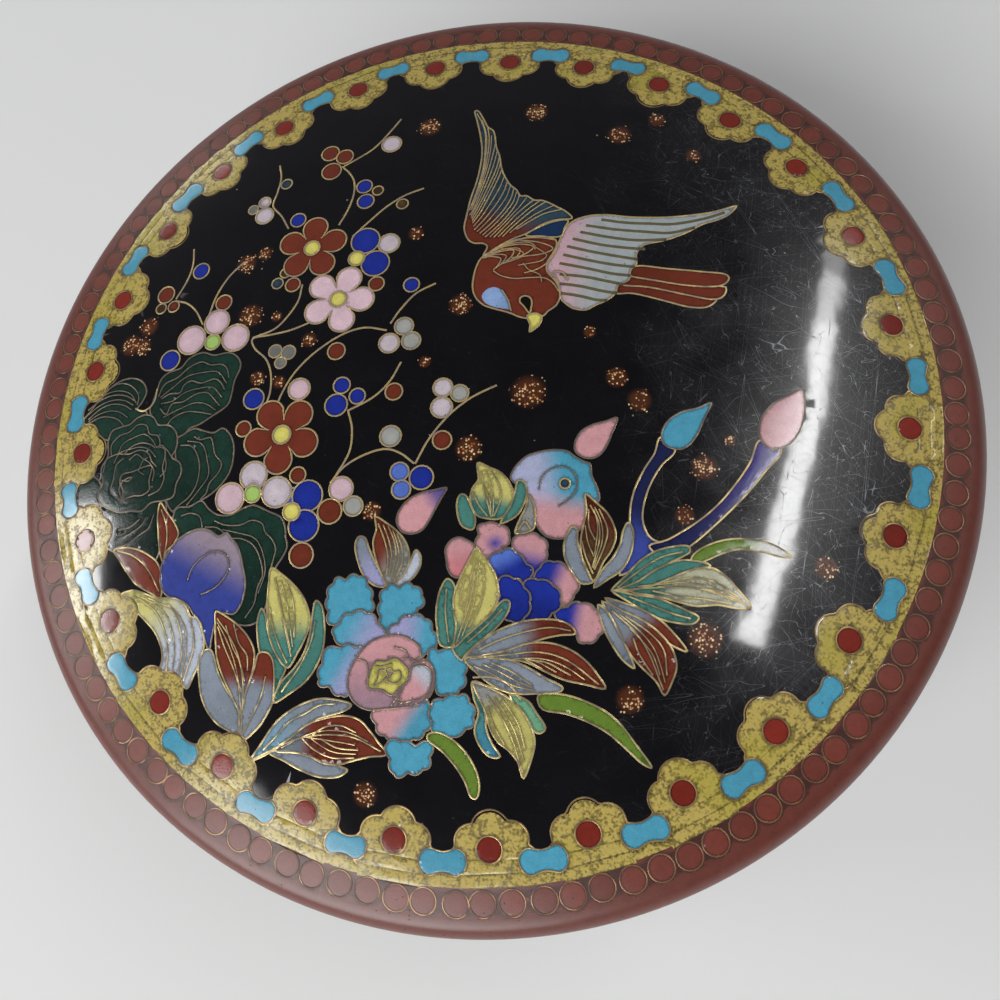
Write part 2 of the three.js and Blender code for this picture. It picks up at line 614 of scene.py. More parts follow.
def cell_glass(name, cloud=0.16, grain=0.22, pits=0.10, edge=0.5, rough=0.12):
    """Coloured glass for the cells. The colour comes from the mesh."""
    glass = Finish(name, IOR=LEAD_GLASS)
    tint = glass.add("ShaderNodeAttribute", {"attribute_name": "tint"}, {}, "Color")
    inside = glass.add("ShaderNodeAttribute", {"attribute_name": "tint"}, {}, "Alpha")
    cloudy, grainy = glass.noise(0.9, 1.0), glass.noise(0.13, 1.0)
    light = 1 + (cloudy - 0.5) * (2 * cloud) + (grainy - 0.5) * (2 * grain)
    hole = glass.specks(0.62, pits, 0.17)
    wall = glass.step(inside + (grainy - 0.5) * 0.6, 0.0, 0.75, 1 - edge, 1.0)
    colour = glass.scaled(tint, light * wall)
    colour = glass.mix(hole * 0.8, colour, tone(0.10, 0.08, 0.07))
    return glass.finish(
        Base_Color=colour, Roughness=rough + hole * 0.4, Normal=glass.bump(grainy, 0.006))


# %% [markdown]
# ### The black ground
#
# The ground is black glass. Here and there a pinch of goldstone is fired into it: clusters of tiny
# copper flakes that glitter, some of them painted near white as painted glints. The polished surface
# has picked up fine scratches, mostly on the right side where the strip light's highlight falls;
# there they are painted pale as a painted sheen, and a coat spreads the highlight. There are a few
# pin holes and pale specks too.

# %% Black ground material
def black_ground(name):
    """Black glass with copper glitter where the tint says so, painted glints, scratches with painted
    sheen, pin holes.
    """
    glass = Finish(name, IOR=LEAD_GLASS)
    flecks = glass.add("ShaderNodeAttribute", {"attribute_name": "tint"}, {}, "Fac")
    cloudy = glass.noise(5.0, 2.0)
    near, chance, painted_glint = glass.cells(0.25)
    density = flecks * (cloudy * 2.2 + 0.2) + 0.003
    flake = glass.step(chance - density * 0.75, -0.02, 0.0, 1.0, 0.0) * glass.step(
        near, 0.30, 0.55, 1.0, 0.0)
    haze = glass.step(flecks, 0.05, 0.6)
    ground = glass.mix(cloudy, tone(0.03, 0.028, 0.04), tone(0.07, 0.065, 0.085))
    ground = glass.mix(haze * 0.6, ground, tone(0.40, 0.22, 0.12))
    # Painted glints: by chance, some flakes are painted near white instead of copper.
    copper = glass.mix(painted_glint, tone(0.66, 0.34, 0.15), tone(1.0, 0.88, 0.66))
    across = glass.add("ShaderNodeSeparateXYZ", {}, [glass.where], 0)
    # The right side, where the strip light's highlight falls: scratches there are painted pale as a
    # painted sheen, and the coat is heavier.
    highlight_side = glass.step(across + (cloudy - 0.5) * 0.02, 0.25 * WIDEST * MM,
                        0.68 * WIDEST * MM, 0.03, 1.0)
    scratch_and_sheen = scratches(glass) * highlight_side
    hole = glass.specks(2.3, 0.16, 0.26)
    # Painted sheen: scratch lines painted pale grey where the highlight falls.
    colour = glass.mix(scratch_and_sheen * 0.30, ground, tone(0.66, 0.68, 0.70))
    colour = glass.mix(hole * 0.7, colour, tone(0.55, 0.52, 0.47))
    colour = glass.mix(flake, colour, copper)
    glass.shader.inputs["Coat Roughness"].default_value = 0.30
    return glass.finish(
        Base_Color=colour, Coat_Weight=highlight_side * (0.55 + cloudy * 0.5),
        Roughness=0.07 + scratch_and_sheen * 0.22 + flake * 0.25 + hole * 0.3,
        Normal=glass.bump(cloudy, 0.02))


def scratches(glass, count=5):
    """Hairlines in several directions: level lines of long stretched noise, in patches."""
    total = None
    for number in range(count):
        turned = glass.add("ShaderNodeMapping", {"vector_type": "TEXTURE"}, {
            "Vector": glass.where, "Rotation": (0, 0, 0.75 + number * 0.63),
            "Scale": (60.0, 1.0, 1.0), "Location": (number * 0.37, number * 0.21, 0)})
        level = glass.noise(0.5 + number * 0.12, 0.0, 0.5, turned)
        line = glass.step((level - 0.42 - number * 0.04).math("ABSOLUTE"), 0.0015, 0.0045, 1.0, 0.0)
        total = line if total is None else total.math("MAXIMUM", line)
    return total


# %% [markdown]
# ### Ochre border glass
#
# The border's ochre glass is coarse and mottled, with olive and brown grains, which a ramp on fine
# noise gives.

# %% Ochre material
def mottled_ochre(name):
    """Ochre glass full of olive and brown grains."""
    glass = Finish(name, IOR=LEAD_GLASS)
    tint = glass.add("ShaderNodeAttribute", {"attribute_name": "tint"}, {}, "Color")
    inside = glass.add("ShaderNodeAttribute", {"attribute_name": "tint"}, {}, "Alpha")
    coarse, fine = glass.noise(0.75, 2.0, 0.6), glass.noise(0.26, 1.0)
    wide = glass.noise(4.5, 0.0)
    grains = glass.step(coarse * 0.6 + fine * 0.4, 0.40, 0.53, 1.0, 0.0)
    spots = glass.specks(0.5, 0.28, 0.22)
    wall = glass.step(inside + (fine - 0.5), 0.0, 0.9, 0.42, 1.0)
    colour = glass.mix(grains * 0.8, tint, tone(0.42, 0.36, 0.17))
    colour = glass.mix(glass.step(wide, 0.55, 0.75) * 0.45, colour, tone(0.66, 0.62, 0.22))
    colour = glass.mix(spots * 0.6, colour, tone(0.28, 0.23, 0.12))
    colour = glass.scaled(colour, wall * (0.85 + fine * 0.3))
    return glass.finish(
        Base_Color=colour, Roughness=0.15 + grains * 0.1 + spots * 0.3,
        Normal=glass.bump(fine, 0.008))


# %% [markdown]
# ### Wire and bare metal

# %% Metal materials
def gilt_wire(name, bright=(0.88, 0.78, 0.55), dark=(0.64, 0.57, 0.46)):
    """Thin gilt brass wire, ground flat, dull in places."""
    metal = Finish(name)
    patchy, fine = metal.noise(1.6, 1.0), metal.noise(0.12, 0.0)
    dull = metal.step(patchy, 0.38, 0.62)
    colour = metal.mix(dull, tone(*bright), tone(*dark))
    return metal.finish(
        Base_Color=metal.scaled(colour, 0.75 + fine * 0.5),
        Metallic=0.6 - dull * 0.3, Roughness=0.32 + dull * 0.2)


def bare_brass(name):
    """Brass of the rims and the foot, with brown tarnish."""
    metal = Finish(name)
    patchy, fine = metal.noise(3.5, 3.0, 0.65), metal.noise(0.25, 0.0)
    brown = metal.step(patchy * 0.8 + fine * 0.2, 0.42, 0.66)
    colour = metal.mix(brown, tone(0.80, 0.62, 0.36), tone(0.40, 0.27, 0.17))
    return metal.finish(
        Base_Color=colour, Metallic=1 - brown * 0.25, Roughness=0.28 + brown * 0.25 + fine * 0.08,
        Normal=metal.bump(fine * 0.5 + patchy, 0.01))


def inside_glass(name):
    """The plain turquoise glass inside the box and under it, with pin holes."""
    glass = Finish(name, IOR=LEAD_GLASS)
    coarse, fine = glass.noise(2.5, 2.0), glass.noise(0.3, 1.0)
    hole = glass.specks(1.3, 0.25, 0.3)
    colour = glass.mix(coarse, tone(0.13, 0.42, 0.55), tone(0.26, 0.60, 0.70))
    colour = glass.mix(hole * 0.7, colour, tone(0.08, 0.12, 0.14))
    return glass.finish(
        Base_Color=glass.scaled(colour, 0.85 + fine * 0.3), Roughness=0.18 + hole * 0.3,
        Normal=glass.bump(coarse, 0.02))


wire_metal, brass = gilt_wire("gilt_wire"), bare_brass("tarnished_brass")
dull_wire = gilt_wire("dull_wire", (0.58, 0.44, 0.32), (0.38, 0.27, 0.20))
bright_wire = gilt_wire("bright_wire", (0.84, 0.76, 0.54), (0.52, 0.46, 0.34))
grey_wire = gilt_wire("grey_wire", (0.56, 0.50, 0.43), (0.40, 0.36, 0.33))
turquoise_inside = inside_glass("inside_glass")

# %% [markdown]
# ## The lid's drawing: grounds and border
#
# From the edge inwards: a brick red rim with a row of wire rings, then ochre lappets, each with a
# red dot, with turquoise dumbbells between them, then the black ground of the picture. There are 28
# lappets. They were laid by hand, so their spacing drifts a little round the lid. The grounds are
# laid first and the border last, because the patch laid last wins.

# %% Grounds of the lid
lid = Drawing(lid_skin, "lid")
RING_ROW, RING_SIZE, RING_STEP = 47.7, 1.22, 2.73
OCHRE_EDGE, BLACK_EDGE = 46.35, 44.9
DOT_ROW, DUMBBELL_ROW = 43.0, 44.3
BARE_RIM = 0.75
WALL_BAND = (WIDEST + 2.3, LID_EDGE - 2.6)
hand = random.Random(28)


def spoke(angle, far, side=0.0):
    """A flat point at an angle and distance from the middle, moved sideways."""
    return (far * math.cos(angle) - side * math.sin(angle),
            far * math.sin(angle) + side * math.cos(angle))


def grid(drawing, inner, outer, gap):
    """Loose points that keep the triangles small enough to follow the curve."""
    points, row, far = [], 0, inner
    while far < outer:
        count = max(1, int(2 * math.pi * far / gap))
        points += [spoke(2 * math.pi * (k + 0.5 * (row % 2)) / count, far) for k in range(count)]
        far, row = far + gap * 0.87, row + 1
    drawing.add_points(points)


lid.area(circle(0, 0, LID_EDGE - BARE_RIM, 360), "rim", plain(RIM_RED))
lid.area(circle(0, 0, WALL_BAND[1], 360), "ground", lambda spots: goldstone(spots))
lid.area(circle(0, 0, WALL_BAND[0], 360), "rim", plain(RIM_RED))
lid.area(circle(0, 0, OCHRE_EDGE, 240), "ochre", plain(OCHRE))
lid.area(circle(0, 0, BLACK_EDGE, 240), "ground", lambda spots: goldstone(spots))
for far in np.linspace(DOME_EDGE - 0.4, WIDEST + 1.1, 8):
    lid.edges(circle(0, 0, far, 270))
grid(lid, 0.5, LID_EDGE - 1.2, 1.5)
grid(lid, BLACK_EDGE - 1.4, OCHRE_EDGE + 0.2, 0.6)

# %% [markdown]
# ## Plum twigs, blossoms and buds
#
# The upper left of the picture is a plum tree in flower: bare wire twigs, five-petalled blossoms in
# brick, pink and blue, and round buds, some in threes.

# %% Blossoms and buds
def bud(x, y, size, colour):
    """A round bud: one ring of wire filled with glass, a little paler in the middle."""
    lid.cell(circle(x, y, size), "blossom", round_fade(colour * 1.08, colour * 0.8, (x, y), size),
             0.16, border=0.25 if size > 0.8 else 0)


def blossom(x, y, colour, heart, turn=90, petals=5, reach=2.55, size=1.42, heart_size=0.92):
    """A plum blossom: five round petals in one outline, or a few loose ones, and a heart."""
    ways = [math.radians(turn + number * 72) for number in range(petals)]
    lobes = [(x + reach * math.cos(w), y + reach * math.sin(w), size) for w in ways]
    if petals < 5:
        for lobe in lobes:
            bud(*lobe, colour)
    else:
        outline = lobed((x, y), lobes + [(x, y, reach * 0.62)], steps=100)
        lid.cell(outline, "blossom", round_fade(colour * 0.85, colour * 1.05, (x, y), reach), 0.17)
        lid.fill(outline)
        for w in ways:
            notch = (math.cos(w + 0.628), math.sin(w + 0.628))
            lid.wire([(x + f * notch[0], y + f * notch[1]) for f in (reach * 0.60, reach * 0.8)],
                     0.12)
    bud(x, y, heart_size, heart)


TWIGS = [
    [(-8.2, 34.9), (-9.5, 32.9), (-11, 31), (-12.6, 29.9), (-14.5, 28.8)],
    [(-14.5, 28.8), (-13.5, 27.6), (-12.9, 26.2), (-12.9, 24.4), (-13.4, 22.5), (-14.2, 20.8)],
    [(-5.0, 24.4), (-7, 23.7), (-9, 22.4), (-10.8, 20.7), (-12.5, 19.0)],
    [(-22.3, 30.4), (-21.9, 28.5), (-22.1, 26.5), (-22.4, 24.6), (-21.2, 23.0), (-20.2, 21.2)],
    [(-31.7, 20.3), (-31.5, 18.3), (-31.9, 16.3), (-33, 14.1)],
    [(-33, 13.8), (-31.5, 13.2), (-30.2, 12), (-29.2, 10.3)],
    [(-25.1, 17.4), (-26.7, 15.8), (-27.9, 13.6), (-28.5, 11.4)],
    [(-17.8, 13.5), (-18.1, 11.6), (-19.2, 9.8), (-20.6, 8.5), (-22.9, 7.8)],
    [(-16.4, 8.9), (-18.6, 8.2), (-20.8, 7.9), (-22.9, 7.7), (-22.6, 6.5), (-21.2, 5.1),
     (-20.5, 3.4), (-20.4, 1.4), (-20.8, -0.2)],
    [(-3.2, 12.1), (-5.2, 11.1), (-6.8, 9.3), (-7.7, 7.9)],
    [(-19.6, -0.4), (-19.0, 1.2), (-17.9, 3.1), (-16.2, 4.9), (-14.1, 6.4), (-12.2, 7.3),
     (-10.3, 7.6), (-8.2, 7.1)],
    [(-6.5, 3.3), (-7.6, 1.3), (-9.3, -0.3), (-11.8, -1.5)],
    [(-11.8, -1.5), (-11.3, -3.5), (-11.5, -5.9), (-12.9, -8.4)],
    [(3.2, 0.2), (1.6, -0.5), (0.2, -1.3), (-1.6, -2.8), (-3.4, -5), (-4.7, -7.4)],
    [(-4.9, -7.4), (-6.3, -6.3), (-7.9, -5.8), (-10, -6.3), (-12, -7.4), (-13.3, -8.9)],
]
for twig in TWIGS:
    lid.wire(smooth(twig, steps=6), 0.2)

BUDS = [
    (-16.2, 31.1, 1.05, BRICK), (-14.4, 30.3, 1.0, BRICK), (-15.8, 28.4, 1.15, BRICK),
    (-9.0, 31.3, 1.15, BLOSSOM_WHITE), (-11.7, 25.6, 0.9, ROYAL), (-11.4, 23.5, 0.95, ROYAL),
    (-10.1, 24.8, 0.62, BROWN), (-7.2, 22.6, 0.65, BROWN), (-21.1, 27.5, 0.68, SLATE),
    (-23.5, 25.3, 0.75, BLOSSOM_WHITE), (-24.8, 24.5, 0.62, GREY_WHITE),
    (-23.3, 23.4, 1.1, BLOSSOM_WHITE), (-19.1, 22.1, 0.9, ROYAL), (-8.4, 17.6, 1.2, BLOSSOM_WHITE),
    (-9.5, 12.7, 0.85, BRICK), (-5.7, 12.2, 0.85, ROYAL), (-19.9, 15.3, 0.6, BROWN),
    (-20.7, 14.1, 0.65, SLATE), (-18.9, 13.7, 0.85, BRICK), (-34.4, 14.8, 1.05, BRICK),
    (-34.8, 13.1, 0.65, BROWN), (-33.2, 13.1, 0.7, BRICK), (-30.3, 17.2, 1.0, ROYAL),
    (-26.9, 12.6, 0.95, BRICK), (-32.7, 6.4, 1.2, ROYAL), (-20.2, 5.9, 0.75, GREY_WHITE),
    (-18.7, 5.6, 0.8, GREY_WHITE), (-19.5, 4.5, 0.65, GREY_WHITE), (-13.4, 5.2, 0.95, BRICK),
    (-7.8, 5.6, 1.1, BLOSSOM_WHITE), (-5.5, 5.7, 1.0, GREY_WHITE), (-6.3, 7.4, 1.0, GREY_WHITE),
    (-17.2, 1.3, 1.2, BLOSSOM_PINK), (-22.2, 0.7, 1.15, ROYAL), (-12.6, 1.3, 0.9, ROYAL),
    (-13.1, -0.8, 1.2, ROYAL), (-10.9, 0.0, 0.85, ROYAL), (-7.1, 0.2, 0.9, BRICK),
    (-2.1, 0.3, 1.0, BLOSSOM_WHITE), (-0.4, -0.4, 0.9, GREY_WHITE), (-2.2, -1.8, 1.1, BLOSSOM_WHITE),
    (-2.1, -5.2, 0.95, BRICK), (-7.3, -4.5, 1.1, GREY_WHITE), (-6.3, -8.2, 0.95, SKY),
    (-4.1, -8.9, 1.2, ROYAL), (-6.1, -10.0, 0.95, SKY), (-23.1, -2.5, 0.85, BRICK),
    (-16.8, -7.9, 0.85, BRICK), (-12.2, -9.6, 1.25, BLOSSOM_PINK), (-10.9, -11.4, 1.0, GREY_WHITE),
    (-13.3, -11.8, 1.25, BRICK), (-16.1, -16.0, 1.25, BRICK),
]
for entry in BUDS:
    bud(*entry)

blossom(-11.9, 16.1, ROYAL, HEART_YELLOW, turn=68, petals=1, reach=2.3, size=1.6)
blossom(-11.9, 16.1, ROYAL, HEART_YELLOW, turn=-22, petals=1, reach=2.3, size=1.55)
blossom(-17.1, 18.1, BRICK, HEART_YELLOW, turn=86)
blossom(-13.6, 11.3, BLOSSOM_PINK, HEART_YELLOW, turn=66)
blossom(-27.7, 7.9, BLOSSOM_PINK, HEART_GREEN, turn=4, petals=1, reach=2.7, size=1.6)
blossom(-27.7, 7.9, BLOSSOM_PINK, HEART_GREEN, turn=84, petals=1, reach=2.4, size=1.5)
blossom(-27.7, 7.9, BLOSSOM_PINK, HEART_GREEN, turn=167, petals=1, reach=2.7, size=1.7)
blossom(-18.8, -3.5, BRICK, HEART_YELLOW, turn=49, reach=2.65, size=1.5, heart_size=1.0)
blossom(-17.3, -11.6, SKY, HEART_YELLOW, turn=95, petals=1, reach=1.4, size=1.05)
blossom(-17.3, -11.6, ROYAL, HEART_YELLOW, turn=43, petals=1, reach=2.2, size=1.6)
blossom(-17.3, -11.6, ROYAL, HEART_YELLOW, turn=-48, petals=1, reach=2.0, size=1.6)
blossom(-21.6, -9.5, BLOSSOM_WHITE, HEART_GREEN, turn=90, petals=1, reach=1.9, size=1.5)
blossom(-21.6, -9.5, BLOSSOM_WHITE, HEART_GREEN, turn=0, petals=1, reach=2.6, size=1.6)
blossom(-21.6, -9.5, BLOSSOM_PINK, HEART_GREEN, turn=186, petals=1, reach=2.5, size=1.6)

# %% [markdown]
# ## The rock
#
# Behind the flowers stands a dark green garden rock. It is drawn the old way, as lobes of wavy lines
# nested in one another.

# %% Helpers for the rest of the picture
WIRE_KIND = {"leaves": "leaf wires", "flowers": "petal wires", "rock": "petal wires"}


def evened(line, count=6):
    """A line with its points spaced evenly."""
    line = np.array(line, float)
    along = np.concatenate([[0], np.cumsum(np.linalg.norm(np.diff(line, axis=0), axis=1))])
    places = np.linspace(0, along[-1], count)
    return np.column_stack([np.interp(places, along, line[:, axis]) for axis in (0, 1)])


def wavy(outline, length=1.5, depth=0.22):
    """A smooth outline with small even bumps along it, like a petal's edge."""
    ring = np.vstack([outline, outline[:1]])
    along = np.concatenate([[0], np.cumsum(np.linalg.norm(np.diff(ring, axis=0), axis=1))])
    bumps = max(3, round(along[-1] / length))
    places = np.linspace(0, along[-1], bumps * 8 + 1)[:-1]
    even = np.column_stack([np.interp(places, along, ring[:, axis]) for axis in (0, 1)])
    height = depth * (np.abs(np.sin(np.pi * bumps * places / along[-1])) - 0.6)
    way = np.roll(even, -1, axis=0) - np.roll(even, 1, axis=0)
    way /= np.linalg.norm(way, axis=1)[:, None]
    outwards = np.column_stack([way[:, 1], -way[:, 0]])
    x, y = even.T
    turn = np.sign(np.sum(x * np.roll(y, -1) - np.roll(x, -1) * y))
    return even + outwards * (turn * height)[:, None]


def patch(piece, paint, outline, veins=(), width=0.17, waves=0.0):
    """A cell with a smooth outline, and wires laid over its glass."""
    wires = WIRE_KIND.get(piece, "wires")
    outline = np.array(smooth(outline, closed=True, steps=4))
    if waves:
        outline = wavy(outline, depth=waves)
    lid.cell(outline, piece, paint, width, 0, wires)
    lid.fill(outline)
    between = [(evened(first) + evened(second)) / 2 for first, second in zip(veins, veins[1:])]
    for vein in veins:
        line(vein, 0.13, wires)
    for vein in between:
        line(vein, 0.10, wires)


def line(points, width=0.17, wires="wires"):
    """A free wire."""
    lid.wire(smooth(points, steps=5), width, wires)


# %% Rock
ROCK_DEEP = ROCK_GREEN * 0.62
patch("rock", fade(ROCK_DEEP, ROCK_GREEN * 0.35, (-36, -8), (-38, -13)), [
    (-43.5, -5), (-40, -6.5), (-39, -9), (-36, -9), (-32, -9), (-31.3, -11), (-31.6, -14),
    (-32.6, -16), (-35, -15.2), (-38, -14), (-39.5, -12), (-43, -10.5)], [
    [(-36.9, -12.1), (-35.6, -11.9), (-34.5, -11.2)],
    [(-37, -14), (-35.6, -13.6), (-34.3, -12.8), (-33.3, -12.2), (-32.8, -10.9)]])
patch("rock", fade(ROCK_GREEN, ROCK_DEEP, (-38, 0), (-38, 5)), [
    (-43.4, 0.2), (-42.2, 1.8), (-40.9, 3.4), (-39.3, 4.6), (-37.6, 4.95), (-36, 4.4),
    (-35.2, 3.1), (-35.6, 1.9), (-36.1, 1.1), (-34.8, 0.5), (-37, -0.9), (-39.5, -2.0),
    (-41.2, -0.8)], [
    [(-40.4, 4.0), (-39, 4.5), (-37.6, 4.2), (-36.6, 3.4), (-36.1, 2.5), (-36.2, 1.7)],
    [(-42.6, 1.9), (-41, 2.9), (-39.3, 3.2), (-37.8, 2.9), (-36.6, 2.2)],
    [(-42.4, 0.8), (-41, 1.8), (-39.5, 2.15), (-38, 1.85), (-36.9, 1.2)],
    [(-42.3, 0.3), (-40.8, 0.8), (-39.3, 0.6), (-38.3, 0.1), (-37.7, -0.5)]])
patch("rock", fade(ROCK_GREEN, ROCK_DEEP, (-28, 1), (-33, 5)), [
    (-33.9, 2.9), (-33.5, 4.3), (-32.5, 5.0), (-31.2, 5.3), (-30.3, 6.3), (-28.8, 6.8),
    (-27.3, 6.3), (-25.7, 6.4), (-24.8, 6.0), (-24.15, 5.2), (-24.1, 4.3), (-24.6, 3.0),
    (-24.8, 1.5), (-25.2, 0.3), (-26.8, -0.7), (-28.3, -1.5), (-29.5, -1.9), (-30.6, -3.4),
    (-32.5, -2.2), (-34.4, 0.5), (-34.2, 1.8)], [
    [(-33.6, 2.3), (-33, 3.6), (-31.5, 4.2), (-30.2, 5.2), (-28.8, 5.7), (-27.6, 5.2),
     (-26.3, 5.1), (-25.6, 4.5), (-25.3, 3.5)],
    [(-33.1, 2.0), (-32.2, 2.4), (-31, 2.4), (-30.6, 3.2), (-29.7, 3.6), (-28.5, 3.2),
     (-27, 3.5), (-26.2, 3.0), (-25.7, 2.2)],
    [(-33.2, 0.8), (-32.4, 0.1), (-31.8, 1.2), (-30.5, 1.3), (-29, 2.0), (-27.7, 2.0),
     (-26.9, 1.3), (-26.1, 0.4)],
    [(-32.2, -1.2), (-31.5, -0.4), (-30, 0.1), (-28.5, -0.1), (-27, -0.5)]])
line([(-36.3, 1.2), (-35.4, 0.8), (-34.5, 1.2), (-34, 2.0), (-33.9, 3.1)])
patch("rock", fade(ROCK_GREEN, ROCK_DEEP, (-26.5, -5), (-30.5, -8)), [
    (-30.9, -3.2), (-30, -2.4), (-28.8, -1.9), (-27.6, -2.3), (-26.5, -2.6), (-25.5, -2.2),
    (-24.7, -2.8), (-24.1, -4.0), (-24, -5.5), (-24.3, -7.0), (-25.2, -8.3), (-26.3, -9.2),
    (-27.5, -9.8), (-28.8, -10.4), (-30.4, -10.8), (-31.5, -9.0), (-30.6, -6.5)], [
    [(-30.2, -3.6), (-29, -3.8), (-28.2, -4.8), (-27.8, -6.2), (-28, -8.0), (-28.8, -9.3),
     (-29.8, -10), (-30.5, -10.6)],
    [(-28.7, -2.8), (-28, -3.2), (-26.8, -3.1), (-26.4, -4.0), (-26.1, -5.0), (-25.3, -6.0),
     (-25.6, -7.0), (-26.5, -8.0), (-26.8, -9.0), (-27.4, -9.6)]])
patch("rock", fade(ROCK_GREEN, ROCK_DEEP, (-35, -2), (-35.5, -9)), [
    (-39.2, -3.8), (-39.4, -2.2), (-39, -1.0), (-37.9, -0.7), (-36.8, -0.5), (-36, 0.1),
    (-34.9, 0.35), (-33.9, -0.1), (-33.2, -1.0), (-31.9, -1.2), (-31, -2.0), (-30.7, -3.0),
    (-30.8, -4.0), (-31.2, -4.8), (-30.2, -5.5), (-29.9, -6.6), (-30.4, -7.8), (-30.6, -9.0),
    (-31.6, -9.4), (-33.2, -9.5), (-34.3, -10.3), (-35.6, -10.2), (-37, -10.2), (-38.4, -9.7),
    (-39.4, -9.1), (-40, -8.0), (-39.5, -6.8), (-39.9, -5.2)], [
    [(-38.8, -3.7), (-38.9, -2.6), (-38, -1.7), (-36.8, -1.4), (-35.8, -0.7), (-34.7, -0.9),
     (-34.2, -1.9), (-33.2, -2.2), (-32.8, -3.0), (-32.9, -3.6)],
    [(-37.1, -3.8), (-36.3, -3.1), (-35.1, -2.8), (-34, -3.1), (-33.4, -3.5)],
    [(-39.6, -5.6), (-39.3, -4.2), (-38, -3.75), (-36.6, -3.9), (-35.2, -3.6), (-34.1, -4.1),
     (-33.6, -5.0), (-33.0, -5.6)],
    [(-33.2, -3.5), (-32.4, -3.4), (-32, -4.4), (-32.2, -5.8), (-31.9, -7.0), (-32.4, -8.2),
     (-33.6, -8.7)],
    [(-32.4, -3.5), (-31.8, -4.0), (-31.2, -4.8)],
    [(-36.4, -9.3), (-37.5, -8.6), (-38.4, -7.8), (-38.2, -6.6), (-38, -5.0), (-37.2, -4.3)],
    [(-37, -9.2), (-36.8, -8.0), (-37.3, -7.0), (-37.1, -6.1), (-35.8, -5.9), (-34.3, -5.5),
     (-33.5, -5.6), (-33.7, -7.0), (-33.6, -8.1), (-34.4, -8.6), (-35.5, -8.6), (-36.4, -8.8),
     (-37, -9.2)]])
patch("rock", fade(ROCK_GREEN, ROCK_DEEP, (-22, -12), (-21, -20)), [
    (-30.3, -10.6), (-28.6, -10.3), (-27.3, -9.8), (-26.4, -10.7), (-25.3, -11.4),
    (-23.9, -11.5), (-22.5, -10.9), (-21.3, -10.7), (-19.8, -11.4), (-18.4, -12.1),
    (-17.9, -13.1), (-17.8, -14.1), (-17.6, -15.0), (-18.0, -16.0), (-18.8, -17.2),
    (-19.3, -18.8), (-19.7, -21.0), (-20.6, -22.3), (-22.2, -22.5), (-24.2, -21.5),
    (-25, -16), (-28, -14), (-30.3, -14)], [
    [(-25.6, -12.0), (-24.4, -12.5), (-22.8, -12.6), (-21.5, -12.2), (-20.4, -12.6),
     (-20, -13.5), (-19.2, -14.3), (-18.8, -15.3), (-19, -16.2), (-19.2, -17.1)],
    [(-23.8, -13.9), (-22.6, -14.0), (-21.5, -14.5), (-20.8, -15.3), (-20.3, -16.5),
     (-20.1, -17.8), (-20.6, -19.0), (-20.9, -20.5), (-21.8, -21.8)],
    [(-29.5, -11.2), (-28.5, -11.0), (-27.4, -11.4), (-27, -12.5)]])

# %% [markdown]
# ## The bird
#
# A swallow flies down from the upper right: brick body and tail, one wing raised and seen from
# inside, the other spread and pale. Each long feather is closed by its own wire. The pale wing has
# hardly any wire; its feathers are stripes of grey-white paste between pitted olive ones.

# %% Tail and pale wing
WING_GREY = tone(0.66, 0.69, 0.70)
OLIVE_GREY = tone(0.40, 0.38, 0.28)
CHEEK = tone(0.56, 0.68, 0.86)
for feather in (
        [(15.2, 9.9), (17.0, 9.8), (20, 8.9), (22.2, 8.2), (24, 8.1), (25.1, 8.8), (24.6, 9.2),
         (22, 9.6), (18.5, 10.6), (15.8, 11.2)],
        [(15.6, 10.9), (18.5, 10.5), (22, 9.6), (24.6, 9.0), (25.8, 9.3), (26.2, 10.2),
         (25.6, 10.5), (22, 10.7), (17.5, 11.8), (16, 12.2)],
        [(16.4, 12.0), (19, 11.3), (22.5, 10.6), (25.4, 10.5), (26.5, 11.2), (26.2, 11.9),
         (24, 12.2), (20.5, 12.6), (17.4, 13.0)]):
    patch("bird", fade(BRICK * 0.8, BRICK, (17, 11), (23, 10)), feather)
patch("bird", fade(tone(0.80, 0.66, 0.70), WING_GREY, (10.2, 16.5), (14, 16.0)), [
    (9.2, 15.0), (9.8, 16.7), (10.4, 18.0), (11.4, 18.9), (13, 19.35), (14.8, 19.35),
    (17, 19.0), (20, 18.85), (22.5, 19.0), (25, 19.35), (26.6, 19.8), (28.0, 20.25),
    (27.2, 19.2), (26, 18.5), (24.3, 17.9), (23, 17.1), (21.5, 16.4), (20, 15.9),
    (18.3, 15.5), (17.5, 14.5), (17.4, 13.2), (16.8, 12.5), (16.6, 11.4), (15.5, 10.8),
    (15.2, 9.9), (14.3, 9.1), (13.2, 8.6), (12.2, 8.1), (11, 8.3), (10.2, 8.9), (9.7, 9.6),
    (9.6, 10.8), (9.2, 12.0), (8.3, 12.9), (8.5, 13.8)])
for stripe in (
        [(14.2, 18.75), (16.5, 18.3), (19, 18.1), (21.5, 18.0), (24.5, 18.6), (26.6, 19.35)],
        [(12.6, 18.1), (15.4, 17.5), (18.5, 17.1), (21, 16.9), (23.4, 17.5)],
        [(12.0, 17.3), (14.6, 16.6), (17.4, 16.1), (20.4, 16.1)],
        [(11.2, 16.5), (13.8, 15.7), (16.4, 15.2), (18.2, 15.0)],
        [(10.6, 15.6), (13.2, 14.8), (15.6, 14.2), (17.4, 13.8)],
        [(10.2, 14.6), (12.8, 13.8), (15.2, 13.2), (17.1, 12.9)],
        [(9.8, 13.6), (12.4, 12.9), (14.8, 12.2), (16.6, 11.9)],
        [(9.8, 12.3), (12.2, 11.9), (14.4, 11.3), (15.9, 10.9)],
        [(9.8, 11.2), (11.8, 10.8), (13.8, 10.2), (15.2, 9.9)],
        [(9.8, 10.1), (11.6, 9.7), (13.2, 9.2), (14.2, 9.1)]):
    lid.area(ribbon(smooth(stripe, steps=4), 0.34), "bird", plain(OLIVE_GREY))
line([(9.2, 12.7), (9.8, 12.6), (10.2, 12.2), (10.4, 11.7)], 0.16)

